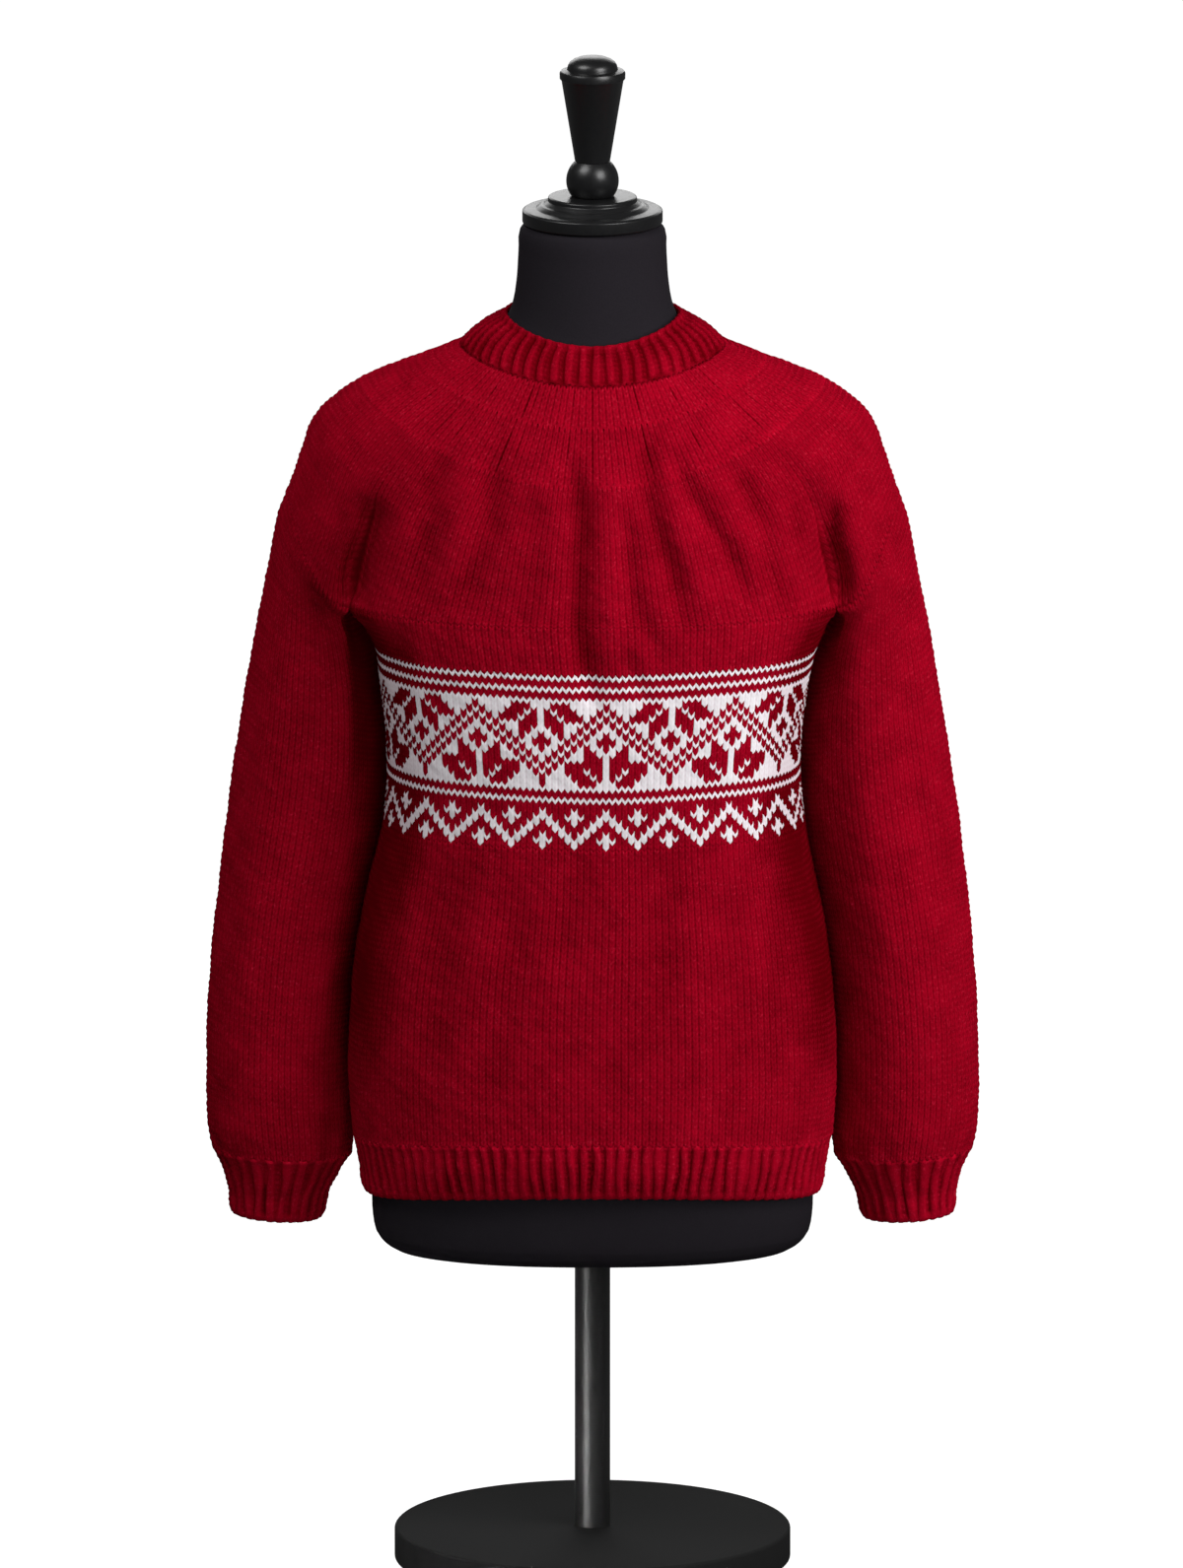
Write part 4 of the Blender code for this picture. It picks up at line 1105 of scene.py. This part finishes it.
def makeNeckband():
    shares = np.linspace(0, 1, neckSizes["ribs"] * ribSteps // 2 + 1)
    rings = []
    for row, fan in zip(neckSizes["rings"], neckSizes["fan"]):
        rings.append(mirrored(spaced(halfOval(row), shares + fan * np.sin(math.pi * shares) / math.pi)))
    rings = np.array(rings)
    normals = normalsOf(rings)
    flat = normals[0] * (1, 1, 0)
    flat = flat / np.linalg.norm(flat, axis=1, keepdims=True)
    start = rings[0] + normals[0] * neckSizes["relief"]
    inside = start - flat * 2 * neckSizes["roll"] - (0, 0, neckSizes["rollDown"])
    outer = [inside]
    for degrees in (180, 135, 90, 45):
        angle = math.radians(degrees)
        roll = flat * (math.cos(angle) - 1) + np.array((0, 0, math.sin(angle)))
        outer.append(start + roll * neckSizes["roll"])
    outer = np.array([*outer, *(rings + normals * neckSizes["relief"])])
    rowCount = neckSizes["rowCount"]
    ribDepth = ((0, 2, 3.5, rowCount - 1, rowCount), (0.10, 0.25, 1, 1, 0.6))
    ribLevel = ((0, rowCount - 4, rowCount - 0.5, rowCount), (0.0, 0.0, -0.0011, -0.0013))
    grid, depth, lines = ribbed(outer, neckSizes, ribDepth, ribLevel, 0.0)
    grid[-1] = onEdge(yokeTopEdge, grid[-1])
    # the seam to the yoke is in shadow, unevenly
    across = np.arange(grid.shape[1])
    dark = 1.1 + 0.4 * np.sin(0.21 * across) * np.sin(0.047 * across)
    depth[-1] = np.maximum(depth[-1], dark)
    depth[-2] = np.maximum(depth[-2], 0.9 * dark)
    depth[-3] = np.maximum(depth[-3], 0.5)
    lining = rings - normals * neckSizes["wall"]
    lining[0] = inside - flat * neckSizes["liningGap"]
    cloth = ClothMesh()
    spots = cloth.addGrid(grid, depth, np.arange(grid.shape[1] + 1) / stitchSteps, lines, True)
    closeCloth(cloth, spots[0], spots[-1], lining[:, ::stitchSteps])
    piece = cloth.finish("neckRib", woolMaterial)
    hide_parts("neckband")


for side, name in ((1, "Right"), (-1, "Left")):
    makeCuff(side, name, makeSleeve(side, name))
makeHem()
makeNeckband()
print("sleeves and ribbing made")


# ---- dress form ----

formSizes = {
    "neck": (  # as the yoke's rings, from the flat top down into the neckband
        (0.0515, 0.0, 1.0397, 0.0515, 1.0397, 0.0515, 1.0397, 2.0),
        (0.0543, 0.0, 1.0365, 0.0543, 1.0365, 0.0543, 1.0365, 2.0),
        (0.0562, -0.001, 1.0190, 0.0568, 1.0180, 0.0555, 1.0190, 2.0),
        (0.0576, -0.003, 0.9980, 0.0595, 0.9920, 0.0555, 1.0010, 2.0),
        (0.0603, -0.005, 0.9810, 0.0622, 0.9700, 0.0552, 0.9905, 2.0),
        (0.0643, -0.0065, 0.9700, 0.0648, 0.9560, 0.0548, 0.9785, 2.0),
    ),
    "chestRoom": ((0, 0.0), (1, 0.0012), (2, 0.0044), (3, 0.0058), (4, 0.0062)),  # yoke ring, metres
    "chestGap": 0.0012,
    "neckGap": 0.0010,
    "torso": (
        (0.1885, 0.004, 0.8860, 0.1080, 0.8050, 0.1000, 0.8200, 2.10),
        (0.1740, 0.003, 0.8250, 0.1072, 0.7550, 0.1000, 0.7600, 2.20),
        (0.1480, 0.000, 0.7250, 0.1050, 0.6900, 0.0960, 0.6860, 2.25),
        (0.1320, 0.000, 0.6100, 0.0940, 0.6100, 0.0880, 0.6100, 2.20),
        (0.1600, 0.000, 0.4800, 0.1040, 0.4800, 0.1040, 0.4800, 2.20),
        (0.1765, 0.000, 0.3800, 0.1065, 0.3800, 0.1080, 0.3800, 2.25),
        (0.1682, 0.000, 0.2950, 0.0960, 0.2950, 0.0970, 0.2950, 2.30),
        (0.1672, 0.000, 0.2680, 0.0950, 0.2680, 0.0960, 0.2680, 2.30),
        (0.1652, 0.000, 0.2580, 0.0932, 0.2580, 0.0942, 0.2580, 2.30),
        (0.1600, 0.000, 0.2505, 0.0890, 0.2505, 0.0900, 0.2505, 2.30),
        (0.1520, 0.000, 0.2452, 0.0822, 0.2452, 0.0832, 0.2452, 2.30),
        (0.1400, 0.000, 0.2430, 0.0715, 0.2430, 0.0725, 0.2430, 2.30),
    ),
    "points": 176,
    "rowHeight": 0.006,
    "edges": (1, -2, -3, -4, -5),  # the rings at the rounded edges, which keep a row of their own
}


def formRings():
    count = formSizes["points"]
    neck = evenRings(formSizes["neck"], halfOval, count)
    band = evenRings(neckSizes["rings"], halfOval, count)
    seat = band - normalsOf(band) * (neckSizes["wall"] + formSizes["neckGap"])
    yoke = yokeRings(count // stitchSteps)
    normals = normalsOf(yoke)
    rings = [*neck, seat[2]]
    for number, room in formSizes["chestRoom"]:
        ring = yoke[number]
        towardsChest = (ring[:, 1] / np.abs(ring[:, 1]).max()) ** 2
        gap = yokeSizes["wall"] + formSizes["chestGap"] + room * towardsChest
        rings.append(ring - normals[number] * gap[:, None])
    return np.array([*rings, *evenRings(formSizes["torso"], halfOval, count)])


def makeForm(material):
    rings = formRings()
    length = np.linalg.norm(np.diff(rings, axis=0), axis=2).mean(axis=1).sum()
    rowCount = round(length / formSizes["rowHeight"])
    knots = rowKnots(rings, rowCount)
    rows = np.unique(np.concatenate([np.arange(rowCount + 1.0), knots[list(formSizes["edges"])]]))
    grid = curved(rings, knots, np.repeat(rows[:, None], rings.shape[1], axis=1))
    cloth = ClothMesh()
    spots = cloth.addGrid(grid, 0.0, np.arange(rings.shape[1] + 1.0), rows, True)
    for loop in (spots[0], spots[-1][::-1]):
        cloth.faces.append(loop.tolist())
        cloth.places.append(np.zeros((len(loop), 2)))
        cloth.yarn.append(np.zeros(1))
    piece = cloth.finish("dressForm", material)
    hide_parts("form_torso")


# ---- turned wood and metal ----

turnedSizes = {
    "sides": 96,
    "cap": (  # radius and height, from the underside up
        (0.0512, 1.0400),
        (0.0533, 1.0414),
        (0.0533, 1.0500),
        (0.0512, 1.0513),
        (0.0432, 1.0519),
        (0.0418, 1.0530),
        (0.0394, 1.0546),
        (0.0372, 1.0550),
        (0.0354, 1.0566),
        (0.0337, 1.0576),
        (0.0337, 1.0603),
        (0.0322, 1.0612),
        (0.0100, 1.0612),
    ),
    "stem": (
        (0.0134, 1.0885),
        (0.0236, 1.1508),
        (0.0249, 1.1522),
        (0.0250, 1.1562),
        (0.0240, 1.1580),
        (0.0212, 1.1586),
        (0.0194, 1.1590),
        (0.0190, 1.1606),
        (0.0186, 1.1624),
        (0.0172, 1.1646),
        (0.0146, 1.1666),
        (0.0106, 1.1682),
        (0.0054, 1.1690),
    ),
    "ball": (0.0200, 1.0730),  # radius and height of its middle
    "ballAngles": (-36.0, 50.0),
    "ballSteps": 16,
    "ballSeat": 0.0003,  # above the cap
    "pole": (0.0135, 0.0253, 0.2427),  # radius, foot and top
    "base": (0.151, 0.0250),
    "baseChamfers": (0.001, 0.0016),  # at the foot and at the top
    "capRounding": 0.0005,
    "baseRounding": 0.0007,
}


def turned(name, profile, material, node, rounding):
    # a solid turned from its profile, from the underside up
    radius, height = profile[0]
    bpy.ops.mesh.primitive_circle_add(
        vertices=turnedSizes["sides"], radius=radius, fill_type="NGON", location=(0, 0, height)
    )
    piece = bpy.context.object
    piece.name = name
    bpy.ops.object.transform_apply(location=True)
    bpy.ops.object.mode_set(mode="EDIT")
    bpy.ops.mesh.select_all(action="SELECT")
    for nextRadius, nextHeight in profile[1:]:
        bpy.ops.mesh.extrude_region_move(TRANSFORM_OT_translate={"value": (0, 0, nextHeight - height)})
        size = nextRadius / radius
        bpy.ops.transform.resize(value=(size, size, 1), center_override=(0, 0, nextHeight))
        radius, height = nextRadius, nextHeight
    bpy.ops.mesh.select_all(action="SELECT")
    bpy.ops.mesh.normals_make_consistent(inside=False)
    bpy.ops.object.mode_set(mode="OBJECT")
    if rounding:
        bevel = piece.modifiers.new("rounding", "BEVEL")
        bevel.width = rounding
        bevel.segments = 3
        bevel.limit_method = "ANGLE"
        bevel.angle_limit = math.radians(20)
        bpy.ops.object.modifier_apply(modifier="rounding")
    bpy.ops.object.shade_smooth_by_angle(angle=math.radians(35))
    piece.data.materials.append(material)
    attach(piece, "root")
    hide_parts(node)
    return piece


def makeStand(lacquer, polePaint, basePaint):
    turned("neckCap", turnedSizes["cap"], lacquer, "neck_cap", turnedSizes["capRounding"])
    radius, middle = turnedSizes["ball"]
    low, high = turnedSizes["ballAngles"]
    ball = []
    for number in range(turnedSizes["ballSteps"] + 1):
        angle = math.radians(low + (high - low) * number / turnedSizes["ballSteps"])
        ball.append((radius * math.cos(angle), middle + radius * math.sin(angle)))
    ball[0] = (ball[0][0], turnedSizes["cap"][-1][1] + turnedSizes["ballSeat"])
    turned("finialTurned", (*ball, *turnedSizes["stem"]), lacquer, "finial", 0.0)
    radius, foot, top = turnedSizes["pole"]
    turned("poleTube", ((radius, foot), (radius, top)), polePaint, "pole", 0.0)
    radius, height = turnedSizes["base"]
    low, high = turnedSizes["baseChamfers"]
    disc = ((radius - low, 0.0), (radius, low), (radius, height - high), (radius - high, height))
    turned("baseDisc", disc, basePaint, "base", turnedSizes["baseRounding"])


blacks = {  # colour, roughness, specular, grains per metre, height of the grain
    "jersey": ((0.0112, 0.0097, 0.0120), 0.9, 0.04, 900.0, 0.0002),
    "lacquer": ((0.0045, 0.0045, 0.0048), 0.33, 0.5, 260.0, 0.00002),
    "polePaint": ((0.006, 0.006, 0.006), 0.42, 0.8, 400.0, 0.000005),
    "basePaint": ((0.0105, 0.0105, 0.0105), 0.75, 0.05, 700.0, 0.00004),
}
blackGrain = {"lighter": 1.5, "roughness": 0.1, "bumpStrength": 0.5}  # how much a grain differs


def black(name):
    colour, roughness, specular, grains, bumpHeight = blacks[name]
    material, shader, wire = newMaterial(name, {"Specular IOR Level": specular})
    place = wire.node("ShaderNodeTexCoord", output=3)
    grain = wire.noise(place, grains, 4.0)
    lighter = tuple(blackGrain["lighter"] * part for part in colour)
    connect(grain.mixed((*colour, 1), (*lighter, 1)), shader, "Base Color")
    rougher = blackGrain["roughness"]
    connect(grain * rougher + (roughness - rougher / 2), shader, "Roughness")
    connect(wire.bump(blackGrain["bumpStrength"], bumpHeight, grain), shader, "Normal")
    return material


jersey, lacquer, polePaint, basePaint = [black(name) for name in blacks]
makeForm(jersey)
makeStand(lacquer, polePaint, basePaint)
print("stand made")


# ---- floor, light and camera ----

studio = {
    "cameraDistance": 40.0,
    "cameraLens": 1207.0,
    "cameraReach": 120.0,
    "cameraElevation": 12.5,
    "target": (-0.00075, 0.0, 0.6038),
    "worldStrength": 0.08,
    "floorSize": 60.0,
    "floorHeight": -0.0005,
    "floorShade": (0.20, 0.20, 0.20, 1),
    "floorGlow": 1.0,
    "surround": 1.0,  # as bright as the floor, but only to look at
}
studioLights = (  # name, place, target, width, height, watts, spread in degrees, seen in the lacquer
    ("keyLight", (0.92, -1.02, 1.90), (0.0, 0.0, 0.80), 0.8, 0.8, 19.0, 180, True),
    ("rightLight", (2.40, -0.90, 1.00), (0.0, 0.0, 0.70), 1.2, 1.2, 37.0, 180, False),
    ("topLight", (-1.20, -0.75, 2.85), (0.0, 0.0, 0.75), 1.2, 1.2, 32.0, 180, True),
    ("frontLight", (0.20, -3.00, 0.80), (0.0, 0.0, 0.70), 1.4, 1.4, 26.0, 180, False),
    ("poleLight", (-1.25, -1.50, 0.20), (0.0, 0.0, 0.09), 0.3, 0.2, 0.20, 9, True),
    ("backLight", (-0.10, 2.60, 1.80), (0.0, 0.0, 1.10), 2.4, 1.0, 8.5, 120, True),
    ("lowBackLight", (0.40, 3.20, 0.80), (0.0, 0.0, 0.65), 1.6, 1.2, 31.0, 180, False),
)


def aim(thing, target):
    x, y, z = (there - here for there, here in zip(target, thing.location))
    flat = math.hypot(x, y)
    thing.rotation_euler = (math.pi / 2 + math.atan2(z, flat), 0, math.atan2(y, x) - math.pi / 2)


def makeFloor():
    material, shader, wire = newMaterial("paleFloor", {"Roughness": 0.9, "Specular IOR Level": 0.0})
    shader.inputs["Base Color"].default_value = studio["floorShade"]
    shader.inputs["Emission Color"].default_value = (1, 1, 1, 1)
    shader.inputs["Emission Strength"].default_value = studio["floorGlow"]
    bpy.ops.mesh.primitive_plane_add(size=studio["floorSize"], location=(0, 0, studio["floorHeight"]))
    floor = bpy.context.object
    floor.name = "floor"
    floor.data.materials.append(material)
    floor.visible_diffuse = False
    floor.visible_glossy = False


def makeLights():
    world = bpy.data.worlds.new("studio")
    bpy.context.scene.world = world
    world.use_nodes = True
    backdrop = world.node_tree.nodes["Background"]
    backdrop.inputs["Color"].default_value = (1, 1, 1, 1)
    seen = world.node_tree.nodes.new("ShaderNodeLightPath")
    strength = world.node_tree.nodes.new("ShaderNodeMapRange")
    strength.inputs["To Min"].default_value = studio["worldStrength"]
    strength.inputs["To Max"].default_value = studio["surround"]
    world.node_tree.links.new(seen.outputs["Is Camera Ray"], strength.inputs["Value"])
    world.node_tree.links.new(strength.outputs["Result"], backdrop.inputs["Strength"])
    for name, place, target, width, height, watts, spreadAngle, glossy in studioLights:
        bpy.ops.object.light_add(type="AREA", location=place)
        light = bpy.context.object
        light.name = name
        light.data.shape = "RECTANGLE"
        light.data.size = width
        light.data.size_y = height
        light.data.energy = watts
        light.data.spread = math.radians(spreadAngle)
        light.visible_glossy = glossy
        aim(light, target)


def makeCamera():
    rise = math.radians(studio["cameraElevation"])
    x, y, z = studio["target"]
    distance = studio["cameraDistance"]
    place = (x, y - distance * math.cos(rise), z + distance * math.sin(rise))
    bpy.ops.object.camera_add(location=place)
    camera = bpy.context.object
    camera.data.lens = studio["cameraLens"]
    camera.data.clip_end = studio["cameraReach"]
    aim(camera, studio["target"])
    bpy.context.scene.camera = camera
    bpy.context.scene.view_settings.view_transform = "Standard"


makeFloor()
makeLights()
makeCamera()
print("studio made")
